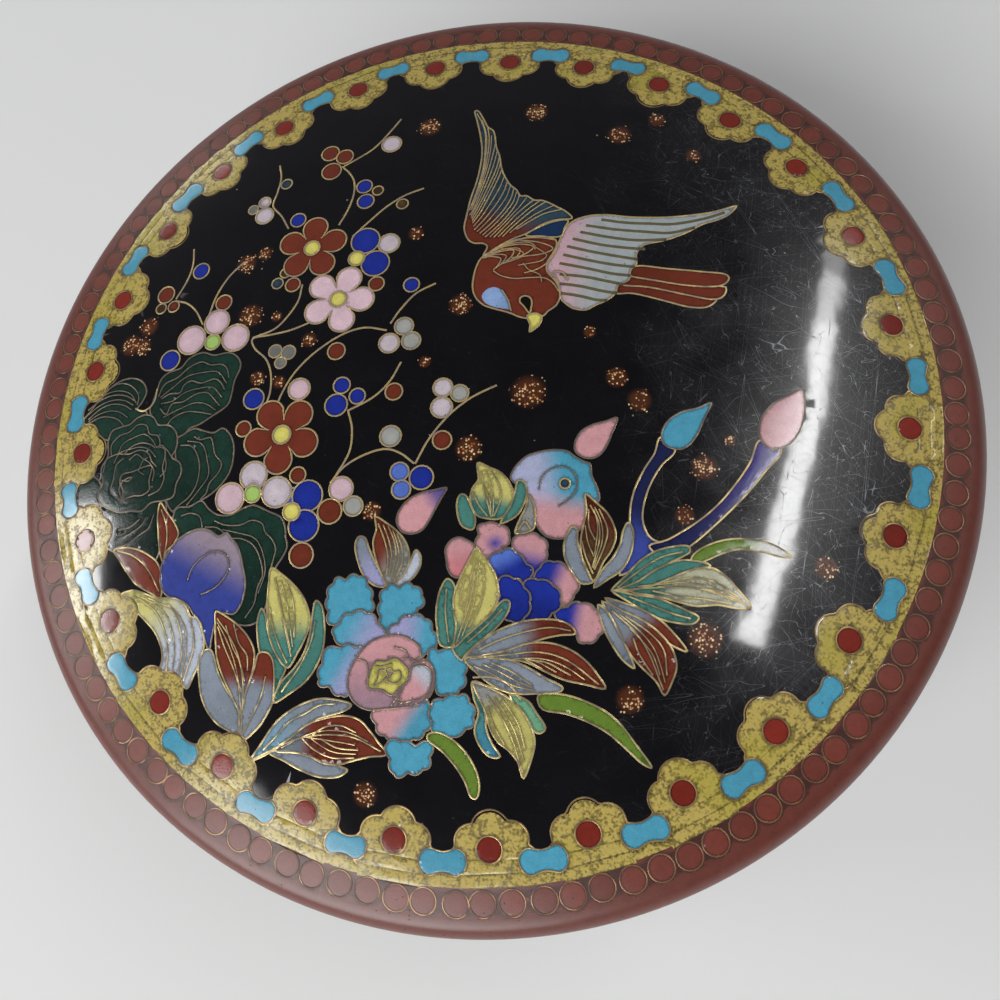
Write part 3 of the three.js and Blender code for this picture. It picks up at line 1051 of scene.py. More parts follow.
# %% Raised wing
patch("bird", fade(BRICK * 0.85, SLATE, (1.7, 18.8), (3.0, 21.6)), [
    (0.35, 34.9), (0.7, 33.3), (1.1, 31.2), (1.35, 29), (1.25, 27), (0.9, 24.8), (0.3, 22.5),
    (-0.05, 20.5), (-0.3, 18.7), (0.1, 17.3), (0.8, 16.7), (1.7, 16.6), (2.2, 16.1),
    (1.8, 15.0), (3.2, 16.0), (4.8, 16.9), (6.3, 17.5), (7.9, 18.5), (9.4, 19.0), (11.0, 19.1),
    (10.4, 20.0), (9.7, 20.5), (8.7, 21.2), (7.9, 21.6), (7.1, 21.7), (6.3, 22.3), (5.6, 22.4),
    (5.2, 23.2), (4.6, 23.8), (4.2, 24.5), (3.8, 25.4), (3.5, 26.5), (3.3, 28), (2.9, 29.4),
    (2.75, 30.8), (2.5, 31.8), (1.9, 32.4), (1.4, 33.6), (0.8, 34.9)], [
    [(0.6, 34.6), (1.2, 33.2), (1.65, 31.4), (1.7, 29.4), (1.6, 27.0), (1.2, 24.6),
     (0.7, 22.6), (0.2, 21.0)],
    [(1.9, 32.3), (2.1, 30.6), (2.0, 28.4), (1.7, 26.2), (1.2, 24.0), (0.5, 21.6)],
    [(2.8, 29.8), (2.5, 28.0), (2.1, 26.0), (1.5, 23.8), (0.7, 21.2), (0.3, 20.4)],
    [(3.3, 28.1), (3.0, 26.4), (2.4, 24.6), (1.5, 22.2), (0.5, 19.9)],
    [(3.6, 26.2), (3.2, 24.9), (2.5, 23.1), (1.4, 20.6), (0.6, 19.3)],
    [(4.2, 24.4), (3.8, 23.0), (3.0, 21.4), (1.8, 19.6), (0.8, 18.4)],
    [(4.9, 23.4), (4.6, 22.1), (3.8, 20.6), (2.6, 19.1), (1.4, 17.9)],
    [(5.5, 22.4), (5.1, 21.2), (4.2, 19.8), (3.2, 18.6), (2.0, 17.4)],
    [(7.0, 21.7), (6.2, 21.0), (5.1, 19.9), (4.1, 18.7), (2.9, 17.3)],
    [(8.3, 21.4), (6.9, 20.4), (5.7, 19.3), (4.7, 18.3), (3.8, 17.3)],
    [(9.9, 20.3), (8.2, 19.9), (6.6, 19.0), (5.3, 18.1)]])
patch("bird", plain(tone(0.10, 0.20, 0.34)), [
    (6.2, 17.3), (7.8, 18.3), (9.3, 18.85), (10.6, 18.9), (10.2, 17.9), (9.8, 16.9), (7.8, 17.0)])

# %% Body and head
patch("bird", plain(BRICK), [
    (1.8, 15.0), (1.1, 13.8), (0.8, 12.4), (0.75, 11.2), (1.1, 10.1), (1.9, 9.2), (3.0, 8.7),
    (4.4, 8.2), (5.6, 7.6), (6.6, 7.4), (7.9, 7.6), (8.4, 8.1), (9.2, 8.7), (9.6, 9.5),
    (9.6, 10.5), (9.2, 11.6), (8.4, 12.7), (8.4, 13.8), (9.0, 14.9), (9.4, 16.0), (9.0, 16.7),
    (7.4, 17.1), (5.6, 16.8), (3.8, 16.1)], [
    [(2.0, 15.0), (3.3, 16.0), (5.2, 16.8), (7.4, 16.9), (9.3, 16.5)],
    [(2.0, 14.9), (3.6, 15.9), (5.6, 16.2), (7.0, 15.8), (6.2, 15.0), (5.0, 14.5)],
    [(2.0, 14.8), (3.4, 15.4), (4.9, 15.5), (4.6, 14.6), (3.4, 13.7)],
    [(1.8, 14.8), (2.6, 14.9), (3.6, 14.6), (3.4, 13.9), (2.9, 13.3)],
    [(5.6, 16.7), (7.6, 16.3), (9.0, 15.5), (8.0, 14.9), (6.2, 14.7), (4.8, 14.6)],
    [(9.0, 14.6), (8.2, 13.6), (7.2, 13.0), (6.1, 12.7)],
    [(2.9, 13.1), (3.7, 12.5), (5.0, 12.1), (6.6, 12.1), (8.0, 12.0), (8.9, 11.4),
     (9.5, 10.4)]])
lid.area(smooth([(2.9, 11.2), (2.1, 10.9), (1.7, 10.2), (2.1, 9.4), (3.0, 8.9), (4.2, 8.6),
                 (4.6, 8.6), (4.2, 9.9), (3.7, 10.8)], closed=True), "bird",
         round_fade(CHEEK * 1.15, CHEEK * 0.8, (2.8, 10.0), 1.8))
line([(4.7, 8.4), (4.4, 9.6), (3.8, 10.8)], 0.14)
patch("bird", plain(HEART_YELLOW), [
    (6.3, 7.7), (7.2, 7.95), (7.8, 7.5), (7.6, 6.7), (7.0, 6.1), (6.55, 5.9), (6.6, 6.7)],
      width=0.14)
lid.cell(smooth([(6.1, 10.0), (5.65, 9.8), (5.6, 9.3), (6.0, 8.8), (6.55, 8.0), (6.75, 8.7),
                 (6.8, 9.3), (6.6, 9.8)], closed=True, steps=3), "bird",
         plain(tone(0.07, 0.05, 0.05)), 0.16, 0)

# %% [markdown]
# ## Flowers and leaves
#
# The lower half is a bunch of peonies, long buds and feathery leaves. A leaf is several long cells
# that start at one stalk, with a bright wire or two along each. Where a maker changes paste inside a
# cell, the colours melt into each other, and the fades do the same here.

# %% Left group: peach, cream leaf, grey and yellow leaves
patch("leaves", plain(BRICK), [
    (-32.1, -9.6), (-31.3, -10.6), (-30.3, -11.8), (-29.7, -13.0), (-30.2, -14.1),
    (-31, -14.8), (-31.3, -15.8), (-31.8, -14.5), (-32.1, -12.5), (-32.3, -11)],
      [[(-31.9, -10.4), (-31.2, -12.0), (-31, -13.5), (-31.2, -15.2)]])
patch("leaves", fade(BRICK * 1.1, tone(0.45, 0.30, 0.28), (-32.5, -17), (-36, -14.5)), [
    (-37.3, -14.2), (-36, -14.0), (-34.5, -14.3), (-33.2, -14.9), (-32, -15.8),
    (-31.4, -17.2), (-31.3, -19.4), (-32.5, -18.9), (-34.3, -17.9), (-35.6, -16.5),
    (-36.6, -15.2)], [[(-36.8, -14.3), (-34.8, -15.0), (-33, -16.5), (-31.6, -18.7)]])
patch("flowers", fade(tone(0.60, 0.54, 0.59), tone(0.22, 0.27, 0.58), (-25.4, -13.9), (-27.5, -17.9)), [
    (-31.5, -17.3), (-31.4, -16), (-30.8, -15), (-30, -13.9), (-29, -13.2), (-28, -12.8),
    (-27, -12.7), (-26, -13.0), (-25.1, -13.6), (-24.2, -13.3), (-23.6, -14.0), (-23, -14.6),
    (-22.5, -15.8), (-22.2, -17), (-21.9, -18.3), (-22, -19.6), (-22.4, -20.7), (-23.1, -21.4),
    (-24.2, -21.3), (-25, -22.2), (-25.3, -23.4), (-25.6, -24.8), (-26.2, -23.5),
    (-26.6, -22.2), (-27.5, -21.2), (-28.1, -20.4), (-29, -19.8), (-30, -19.6),
    (-31, -18.9), (-31.4, -18.1)],
      [[(-28.3, -17.8), (-27.9, -16.7), (-27.1, -15.8), (-26, -15.2), (-25, -15.1),
        (-24.1, -15.6), (-23.8, -16.6), (-24.1, -17.6), (-24.9, -18.5), (-25.8, -19),
        (-26.7, -19.3)]])
patch("leaves", fade(CREAM, PALE_MIST * 0.85, (-33, -19.5), (-28.3, -23.5)), [
    (-36, -18.8), (-34.6, -18.5), (-33.2, -18.9), (-31.8, -19.4), (-30.3, -19.5), (-29.3, -19.7),
    (-28.3, -20.5), (-27.8, -21.4), (-27.1, -21.6), (-26.6, -22.4), (-26.2, -23.5), (-26.2, -24.8),
    (-26.6, -26), (-27.2, -27.2), (-27.9, -28.4), (-28.8, -27.7), (-30, -27.3), (-31.1, -26.9),
    (-30.8, -25.5), (-31, -24.3), (-31.8, -22.8), (-33, -21.6), (-34.2, -20.6), (-35.5, -19.6)], [
    [(-34.4, -19.1), (-33, -19.9), (-31.8, -20.8), (-31, -22), (-30.4, -23.5), (-30.2, -25),
     (-30.3, -26.6)],
    [(-32.7, -19.4), (-31.2, -20), (-29.9, -20.6), (-29.2, -21.8), (-28.7, -23.5),
     (-28.6, -25), (-28.9, -26.9)],
    [(-28.2, -20.8), (-27.7, -22), (-27.3, -23.6), (-27.4, -25), (-27.9, -26.4),
     (-28.3, -27.6)]])
patch("leaves", fade(TEAL, TEAL * 0.8, (-20, -22), (-18.5, -29)), [
    (-20.1, -21.0), (-19.6, -21.8), (-19.3, -23.3), (-18.4, -25), (-17.4, -26.5), (-18, -28),
    (-18.8, -29.9), (-19.5, -28.5), (-19.3, -26.5), (-20.1, -25.3), (-20.4, -23.8),
    (-20.5, -22.3)])
patch("leaves", fade(TEAL, TEAL * 0.8, (-14.5, -21), (-16.5, -28)), [
    (-14.5, -20.5), (-13.9, -20.9), (-13.6, -22), (-13.5, -23.6), (-13.7, -25.2), (-14.4, -26.8),
    (-15.5, -28.1), (-17, -29.1), (-18.6, -29.9), (-18, -28.2), (-16.6, -26.8), (-15.6, -25.4),
    (-15, -23.6), (-14.8, -22)],
      [[(-14.5, -22.5), (-14.9, -24.4), (-16.0, -26.6), (-17.8, -28.9)]])
patch("leaves", fade(CREAM, TEAL, (-17.6, -21.4), (-17.9, -24.4)), [
    (-19.2, -17.1), (-18, -17.8), (-16.8, -18.8), (-15.8, -20.0), (-15.2, -21.3), (-15.0, -22.6),
    (-15.5, -24), (-16.2, -25.3), (-17.2, -26.7), (-18.3, -25.6), (-19.1, -24.0),
    (-19.4, -22.3), (-19.5, -20.3), (-19.4, -18.6)], [
    [(-18.7, -18.2), (-18.2, -20), (-17.8, -21.8), (-17.4, -23.6), (-16.9, -25.6)],
    [(-17.5, -18.6), (-16.9, -20), (-16.6, -21.8), (-16.6, -23.8)],
    [(-19.2, -21), (-18.8, -22.8), (-18.1, -24.7), (-17.3, -26.2)]])
patch("leaves", fade(MIST, MIST * 0.75, (-25.5, -25), (-23, -32)), [
    (-26.3, -25.0), (-25.6, -24.7), (-25.1, -25.2), (-24.6, -26.8), (-23.6, -28.6),
    (-22.4, -30.2), (-21.9, -33.3), (-23.2, -32.5), (-24.5, -31.8), (-25.6, -30.6),
    (-26.3, -29.2), (-26.6, -27.6), (-26.7, -26.2)])
patch("leaves", fade(BRICK, MIST * 0.85, (-20, -27.4), (-20.3, -28.6)), [
    (-20.3, -25.3), (-19.4, -25.2), (-18.8, -25.9), (-18.6, -27), (-18.6, -28.3), (-18.7, -29.8),
    (-19.3, -31), (-20.2, -32.2), (-21.9, -33.3), (-22.1, -30.5), (-21.2, -28), (-20.6, -26.4)],
      [[(-19.5, -27.5), (-20.0, -29.5), (-21.7, -32.6)]])
patch("leaves", fade(BRICK, MIST * 0.9, (-22.2, -27.0), (-22.2, -29.2)), [
    (-25.0, -21.1), (-24.2, -21.4), (-23.2, -22.0), (-22.2, -22.8), (-21.4, -23.7), (-20.8, -24.8),
    (-20.7, -26), (-21, -27.4), (-21.5, -28.8), (-22.1, -30.6), (-23.1, -29), (-24, -27.4),
    (-24.7, -25.6), (-24.9, -23.9), (-25.0, -22.4)], [
    [(-24.8, -21.8), (-23.6, -23.3), (-22.6, -25), (-22, -27), (-21.8, -29), (-22, -32.9)],
    [(-24.7, -22.6), (-23.9, -24.6), (-22.9, -26.6), (-22.0, -28.8)],
    [(-23.0, -22.4), (-22.4, -24.2), (-21.5, -25.4), (-21.4, -26.8)]])
patch("leaves", fade(PALE_TURQUOISE * 0.75, MIST * 0.8, (-20, -34), (-15, -31)), [
    (-20.9, -35.2), (-19.8, -33.6), (-18.6, -32), (-17.3, -30.9), (-15.5, -30), (-13.8, -29.6),
    (-12, -29.8), (-10.8, -30.2), (-11.6, -30.8), (-13.6, -31.3), (-15.2, -32), (-16.8, -33.2),
    (-18.6, -34.3)], [
    [(-19.6, -34.2), (-18.2, -32.9), (-17, -31.7), (-15.3, -30.9), (-13.9, -30.2),
     (-12.4, -30.1)]])
patch("leaves", plain(MIST * 0.85), [
    (-19.0, -34.5), (-17.2, -34.2), (-15.6, -34.4), (-14.0, -35.3), (-12.2, -35.7), (-11.2, -36.1),
    (-12.2, -36.7), (-14, -36.7), (-15.8, -36.1), (-17.4, -35.3)])
patch("leaves", fade(MIST * 0.6, BRICK, (-16.4, -33), (-14.6, -33)), [
    (-18.4, -34.3), (-16.8, -33.1), (-15.2, -32), (-13.4, -31.4), (-11.5, -31.2), (-10, -31.6),
    (-9, -32.6), (-8.2, -33.6), (-7.4, -34.7), (-9, -34.9), (-10.5, -35.2), (-12, -35.6),
    (-13.4, -35.5), (-14.8, -34.9), (-16.4, -34.5)], [
    [(-20.7, -35.1), (-18, -33.9), (-15.5, -33.1), (-13, -32.9), (-10.5, -33.2), (-8, -34.4)],
    [(-14.8, -33), (-13.4, -32.2), (-11.8, -32.1), (-10.4, -32.7)],
    [(-15.7, -33.2), (-14.4, -34.3), (-12.6, -35), (-10.6, -35.0)],
    [(-13.8, -33.3), (-12.2, -34.1), (-10.2, -34.3)]])

# %% Turquoise flower with a rose heart
LILAC = tone(0.62, 0.62, 0.78)
patch("leaves", fade(BRICK, GREY_WHITE * 0.8, (-7.9, -15.5), (-6.0, -16.5)), [
    (-8.6, -12.6), (-7.4, -13.3), (-6.4, -14.1), (-5.6, -15.1), (-5.2, -16.3), (-5.3, -17.5),
    (-5.9, -18.6), (-7.2, -19.4), (-7.9, -18.2), (-8.5, -16.7), (-8.8, -15.1), (-8.5, -13.8)], [
    [(-8.3, -13.3), (-7.7, -14.8), (-7.3, -16.5), (-7.4, -18.2)],
    [(-7.3, -13.6), (-6.7, -15), (-6.5, -16.5), (-6.9, -18.4)],
    [(-6.4, -14.4), (-5.9, -15.8), (-5.9, -17.2), (-6.6, -18.8)]])
patch("leaves", fade(MIST * 0.8, LILAC, (-10, -15), (-8.2, -18.5)), [
    (-10.3, -14.5), (-9.6, -14.6), (-9.2, -15.6), (-8.6, -16.9), (-7.9, -18.2), (-7.5, -19.3),
    (-8.6, -19.2), (-9.7, -18.2), (-10.3, -16.8), (-10.6, -15.4)])
patch("leaves", plain(PALE_MIST * 0.9), [
    (-4.6, -16.0), (-4.1, -16.5), (-4.15, -17.6), (-4.8, -18.6), (-5.8, -19.2), (-6.8, -19.4),
    (-5.7, -18.2), (-5.1, -17)])
PETALS = [
    ([(-12.9, -22.9), (-13.3, -21.5), (-13.4, -20.2), (-13.1, -19.2), (-12.4, -18.4),
      (-11.5, -18.4), (-10.6, -18.1), (-9.8, -18.3), (-9.2, -19), (-8.8, -20), (-8.7, -21.4),
      (-9.6, -22.4), (-11, -22)], plain(TURQUOISE)),
    ([(-8.1, -20.7), (-7.8, -19.7), (-7.1, -19.2), (-6.3, -19.3), (-5.2, -19.1), (-4.4, -19.5),
      (-3.8, -20.3), (-3.9, -21.3), (-4.7, -22), (-5.8, -22.4), (-7.3, -23.8), (-8.1, -22.4)],
     plain(TURQUOISE)),
    ([(-12.7, -23.9), (-12.3, -22.8), (-11.4, -21.9), (-10.5, -21.6), (-9.4, -21.6), (-8.5, -22.2),
      (-7.8, -23.3), (-7.3, -24.1), (-9, -24.9), (-11, -25.1)],
     fade(TURQUOISE, LILAC, (-11.5, -22.5), (-8.5, -24.2))),
    ([(-13.4, -24.9), (-12.4, -24.9), (-10.9, -24.7), (-9.6, -25.2), (-9.8, -26.6), (-10.7, -28),
      (-11.2, -29.3), (-12.1, -29.4), (-12.9, -28.7), (-14.1, -28.2), (-14, -26.8),
      (-13.6, -25.8)], fade(TURQUOISE, LILAC, (-12.4, -26), (-10.6, -27.2))),
    ([(-7.3, -23.8), (-6.3, -22.7), (-5.3, -22.1), (-4.2, -22.1), (-3.3, -22.6), (-2.9, -23.4),
      (-2.4, -24.3), (-2.6, -25.2), (-3.9, -25.9), (-5.6, -25.2)],
     fade(LILAC, TURQUOISE, (-5.6, -23.6), (-3.4, -23.8))),
    ([(-3.5, -25.9), (-2.9, -25.2), (-2, -25.4), (-0.9, -25.2), (-0.2, -25.8), (0.2, -26.8),
      (0.2, -27.8), (-0.1, -28.8), (-0.9, -29.4), (-1.9, -29.5), (-2.7, -29), (-3.1, -27.6)],
     plain(TURQUOISE)),
    ([(-8.7, -30.7), (-8.6, -31.8), (-8.0, -32.9), (-6.7, -33.5), (-5.3, -33.6), (-4, -33.1),
      (-3.2, -32.2), (-3, -31), (-3.4, -29.9), (-5, -30), (-7, -30)],
     fade(PINK, TURQUOISE * 0.9, (-6.6, -31.4), (-5.0, -32.6))),
    ([(-3.2, -30.4), (-2.4, -29.8), (-1.2, -29.5), (-0.1, -29.4), (0.7, -30.2), (1, -31.3),
      (0.6, -32.3), (-0.4, -32.9), (-1.3, -33.4), (-2.4, -33.1), (-3.1, -32.3)],
     plain(TURQUOISE)),
    ([(-7.5, -33.7), (-6.2, -33.4), (-4.6, -33.8), (-3.2, -33.5), (-3.1, -34.6), (-3.5, -35.9),
      (-4.6, -36.4), (-5.6, -36.5), (-6.6, -36.7), (-7.1, -35.8), (-7.3, -34.8)],
     plain(TURQUOISE)),
]
for outline, paint in PETALS:
    patch("flowers", paint, outline, waves=0.26)
patch("flowers", fade(PINK, tone(0.62, 0.50, 0.55), (-8, -25), (-8, -30.4)), [
    (-10.5, -26.2), (-9.8, -25.2), (-8.8, -24.4), (-7.6, -24), (-6.3, -23.9), (-5.1, -24.3),
    (-4.2, -25), (-4, -26), (-3.3, -26.4), (-2.8, -27.3), (-2.8, -28.5), (-3.3, -29.6),
    (-4.5, -30.3), (-6, -30.5), (-7.5, -30.6), (-9.1, -30.7), (-10.4, -30.1), (-11.1, -29),
    (-11.1, -27.5)], [
    [(-10.2, -26.0), (-9.4, -26.3), (-9.1, -27.2), (-9.3, -28.2)],
    [(-4.1, -25.9), (-5.0, -26.3), (-5.5, -25.4), (-6.5, -25.0)],
    [(-3.4, -26.4), (-4.7, -26.5), (-5.2, -27.2)],
    [(-6.9, -30.3), (-6.2, -29.4), (-5.4, -28.6)]])
patch("flowers", fade(PINK, PALE_MIST * 0.9, (-4.8, -28.6), (-3.6, -27.4)), [
    (-4.9, -26.9), (-3.9, -26.7), (-3.1, -27.3), (-3.1, -28.4), (-3.6, -29.4), (-4.8, -29.9),
    (-6.2, -30.0), (-5.8, -28.8), (-5.2, -27.9)])
patch("flowers", plain(HEART_YELLOW * 0.85), [
    (-9.0, -27.3), (-8.4, -26.3), (-7.5, -26.3), (-6.6, -26.0), (-5.8, -26.5), (-5.2, -27.3),
    (-5.5, -28.2), (-6.1, -28.7), (-6.9, -29.4), (-7.8, -28.9), (-9.1, -28.7)], [
    [(-7.3, -28.0), (-7.4, -27.2), (-8.1, -27.1), (-8.3, -27.9), (-8.6, -28.5), (-7.9, -28.2),
     (-7.3, -27.6)],
    [(-7.2, -28.0), (-6.8, -27.4), (-6.1, -27.2), (-6.0, -27.9), (-6.6, -28.3), (-7.3, -28.1)],
    [(-8.4, -26.7), (-7.6, -26.7), (-6.9, -26.5)]])
patch("leaves", plain(LEAF_GREEN), [
    (-3.4, -32.9), (-2.4, -32.8), (-1.2, -33.4), (0, -34.5), (0.9, -36), (1.25, -37.4),
    (1.0, -38.5), (0.4, -38.4), (-0.1, -37.1), (-1, -35.7), (-2.2, -34.4), (-3.4, -33.5)],
      width=0.16)
patch("leaves", plain(LEAF_GREEN), [
    (6.8, -29.6), (8, -29.4), (9.6, -29.6), (11.3, -30.2), (13, -31.1), (14.3, -32.3),
    (15.4, -33.8), (16.8, -35.8), (15.9, -35.5), (14.5, -34.2), (13, -32.9), (11.2, -31.9),
    (9.3, -31.2), (7.2, -30.8)], width=0.16)

# %% Long buds on their stems
VIOLET = tone(0.42, 0.36, 0.60)
patch("flowers", fade(VIOLET, PINK * 1.1, (-2.4, -10.6), (-4.0, -11.6)), [
    (-1.6, -10.05), (-2.8, -10.2), (-4.0, -10.4), (-5.3, -11.0), (-6.2, -12.0), (-6.5, -13.1),
    (-6.0, -14.1), (-5.0, -14.4), (-4.0, -14.1), (-3.3, -13.2), (-2.7, -12.1), (-2.1, -11.0)])
patch("stems", fade(INK_BLUE, tone(0.24, 0.30, 0.62), (17, -12), (16.5, -16.5)), [
    (18.8, -5.7), (18.3, -7.2), (17.3, -8.7), (16.4, -10.4), (15.9, -12), (15.7, -13.6),
    (15.8, -15.2), (15.2, -17.2), (14.6, -18.8), (16.4, -18), (18.3, -17.2), (19.9, -16.4),
    (18.6, -15.9), (17.4, -15.2), (16.9, -13.6), (17.2, -11.7), (18, -9.8), (19.0, -8.3),
    (20.2, -7.1), (19.8, -5.8)])
patch("stems", fade(tone(0.30, 0.27, 0.52), INK_BLUE * 1.1, (28, -8), (20, -15)), [
    (28.1, -6.1), (27.3, -8), (26, -9.9), (24.3, -11.9), (22.5, -13.5), (20.5, -14.8),
    (19.0, -15.6), (17.4, -16.1), (18.4, -17), (20.2, -16.7), (21.4, -16), (23, -14.7),
    (25, -12.9), (27, -10.9), (28.7, -8.9), (30.2, -7.2), (29.4, -6.0)])
for outline, paint in (
        ([(14.9, -3.6), (13.8, -3.9), (12.6, -4.2), (11.5, -4.8), (10.85, -5.8), (10.8, -6.8),
          (11.4, -7.4), (12.3, -7.6), (13.2, -7.2), (13.9, -6.2), (14.4, -5.0)],
         plain(PINK * 1.1)),
        ([(23.9, -2.2), (22.6, -2.7), (21, -3.1), (19.8, -3.9), (19.1, -5.0), (19.1, -6.1),
          (19.8, -6.7), (20.9, -6.8), (21.8, -6.2), (22.5, -5.2), (23.1, -3.9)],
         plain(TURQUOISE)),
        ([(32.7, -0.8), (31.3, -1.4), (29.9, -2.2), (28.8, -3.4), (28.3, -4.7), (28.4, -6.0),
          (29.2, -6.8), (30.3, -6.7), (31.2, -6.2), (32, -5.2), (32.6, -3.8), (32.9, -2.2)],
         plain(tone(0.80, 0.62, 0.64)))):
    patch("flowers", paint, outline)
patch("leaves", fade(LEAF_GREEN, GREY_WHITE, (25.5, -16), (28.6, -16.4)), [
    (21.2, -17.3), (22, -16.5), (23.6, -15.8), (25.3, -15.5), (27, -15.6), (28.7, -16.0),
    (30.4, -17.1), (29.4, -17.2), (27.6, -16.7), (25.6, -16.5), (24, -16.9), (22.6, -17.5),
    (21.5, -17.9)], width=0.16)

# %% Round blossom and the blue peony
round_top = fade(tone(0.68, 0.70, 0.82), TURQUOISE * 0.95, (7.0, -8.6), (9.8, -8.2))
patch("flowers", blend(round_top, plain(PINK), (8.8, -10.4), (8.4, -12.9)), [
    (4.6, -9.3), (5, -8.3), (6, -7.3), (7, -6.9), (8.5, -6.65), (10, -6.8), (10.8, -7.4),
    (11.6, -7.9), (12.2, -8.2), (12.3, -9.3), (12.8, -10.6), (12.9, -11.7), (12, -12.8),
    (11.5, -14), (10.5, -14.9), (9.3, -15.3), (8, -15.1), (7.2, -14.3), (6.8, -13.3),
    (6.6, -12), (6, -10.9), (5.2, -10)], [
    [(7.3, -10.4), (7.6, -9.3), (8.5, -8.5), (9.6, -8.3), (10.5, -8.8), (10.9, -9.8),
     (10.7, -10.8), (10, -11.6), (9.2, -12.1)]])
lid.cell(circle(9.75, -10.0, 0.5), "flowers", plain(SLATE), 0.16, 0)
patch("leaves", plain(TEAL), [
    (-0.3, -10.8), (0.3, -10.9), (0.8, -12), (1.2, -13.2), (0.9, -14.2), (-0.1, -13.8),
    (-0.5, -12.8), (-0.6, -11.6)])
patch("leaves", plain(TEAL), [
    (5.3, -9.6), (6, -9.9), (6.1, -11), (5.7, -12.2), (5, -13.1), (3.6, -13.7), (4.3, -12.4),
    (4.9, -11)])
patch("leaves", plain(GREY_WHITE * 0.7), [
    (6.3, -11.0), (6.8, -12), (6.9, -13.2), (6.6, -14.4), (5.0, -14.7), (5.4, -13.4),
    (6.0, -12.2)], [[(5.3, -14.3), (5.9, -13.6), (6.4, -14.3)]])
patch("leaves", fade(CREAM, TEAL, (2.7, -10.6), (2.4, -12.0)), [
    (1.4, -7.7), (2.6, -8.2), (3.6, -8.7), (4.4, -9.6), (4.85, -10.9), (4.5, -12.1),
    (3.6, -13.2), (2.4, -13.2), (1.3, -12.8), (0.7, -11.5), (0.9, -10.2), (1.5, -9.3)], [
    [(1.8, -8.6), (2.0, -10), (2.3, -11.4), (2.7, -13)],
    [(2.8, -8.6), (3.5, -10), (3.6, -11.4), (3.0, -12.9)],
    [(1.0, -10.6), (1.5, -11.8), (2.3, -12.9)]])
PEONY = [
    ([(1.4, -14.7), (1.5, -13.9), (2.2, -13.55), (3.2, -13.7), (4, -14), (4.5, -14.8),
      (4.3, -15.6), (3.7, -16.2), (3, -16.8), (2.2, -17), (1.6, -16.3), (1.2, -15.6)],
     round_fade(ROYAL, PINK, (3.1, -15.6), 1.1)),
    ([(4.6, -15.5), (5.3, -14.9), (6.5, -14.7), (7.5, -15.1), (8.0, -15.9), (7.9, -17),
      (7.3, -18), (6.8, -19.1), (5.9, -19.1), (5.6, -17.6), (5.1, -16.7)],
     fade(PINK * 0.95, ROYAL, (6.8, -16), (6.2, -18))),
    ([(6.6, -19.2), (7.1, -18.1), (7.7, -17.5), (8.7, -17.4), (9.6, -17.8), (10.4, -18.6),
      (10.8, -19.4), (10.6, -20.3), (10, -21.1), (9.2, -21.8), (8.8, -20.8), (8.4, -19.9),
      (7.4, -19.5)], fade(ROYAL, PINK, (8.2, -18.3), (9.9, -19.0))),
    ([(8.4, -22.2), (9.6, -21.6), (10.6, -21.2), (11.6, -21.4), (12.4, -21.9), (12.8, -22.8),
      (13, -23.6), (12.5, -24.4), (11.6, -25), (10.7, -24.8), (10.2, -23.9), (9.2, -23.1)],
     fade(ROYAL, PINK, (9.8, -22.6), (11.3, -22.9))),
    ([(2.4, -16.9), (3.2, -16.5), (4.2, -16.1), (5.2, -16.5), (5.8, -17.3), (6.5, -18),
      (6.4, -19), (5.7, -19.4), (5, -18.9), (4.2, -19.3), (3.4, -19), (2.8, -18)],
     fade(SKY, ROYAL * 0.9, (3.8, -16.6), (4.6, -18.2))),
    ([(5.6, -19.4), (6.8, -19.0), (8.2, -19.4), (9, -20.3), (9.1, -21.5), (8.3, -22.3),
      (7.6, -22.8), (6.6, -22.9), (5.6, -22.7), (5.8, -21)],
     fade(ROYAL, ROYAL * 0.6, (7.5, -19.6), (6.5, -22.4))),
    ([(3.3, -19.0), (4.3, -18.7), (5.3, -19.2), (6.1, -20.2), (6.3, -21.4), (5.8, -22.6),
      (4.8, -23), (3.9, -22.6), (3.2, -21.6), (3.4, -20.4)],
     fade(ROYAL, ROYAL * 0.7, (4.4, -19.2), (5.2, -22.2))),
]
for outline, paint in PEONY:
    patch("flowers", paint, outline, waves=0.16)
patch("flowers", fade(PINK, tone(0.80, 0.50, 0.52), (-0.6, -15.4), (-0.4, -18)), [
    (-1.6, -17), (-1.7, -16), (-1.2, -15.2), (-0.4, -14.9), (0.4, -15.2), (1.1, -15.8),
    (0.7, -16.8), (0.2, -17.8), (-0.4, -18.7), (-1.1, -18.5), (-1.5, -17.8)])

# %% Leaves round the peony
patch("leaves", plain(MIST * 0.85), [
    (10.3, -14.2), (10.8, -14.5), (10.8, -15.6), (11.1, -16.8), (11.6, -18), (12.2, -19.3),
    (11, -19.5), (10.2, -18.4), (9.6, -17.2), (9.5, -16), (9.8, -15)])
patch("leaves", plain(MIST * 0.9), [
    (15.5, -13.9), (15.95, -14.5), (15.95, -15.6), (15.6, -17), (14.8, -18.3), (13.6, -19.1),
    (12.2, -19.9), (12.9, -18.4), (13.9, -17.3), (14.7, -16), (15, -14.8)])
patch("leaves", fade(BRICK * 0.75, BROWN, (12.2, -13), (12.6, -17.5)), [
    (11.65, -11.1), (12.6, -11.9), (13.6, -12.9), (14.2, -14.1), (14.35, -15.3), (13.9, -16.5),
    (13.1, -17.6), (12.2, -19.3), (11.5, -18), (11.1, -16.8), (11.1, -15.4), (11.4, -14),
    (11.7, -12.6)], [
    [(12.1, -12.2), (12.8, -13.8), (12.8, -15.6), (12.1, -18)],
    [(12.9, -12.6), (13.6, -14.4), (13.3, -16), (12.3, -18.2)],
    [(11.9, -12.6), (11.9, -14.2), (12.4, -15.4)],
    [(11.2, -15.6), (11.5, -17), (12.1, -18.6)]])
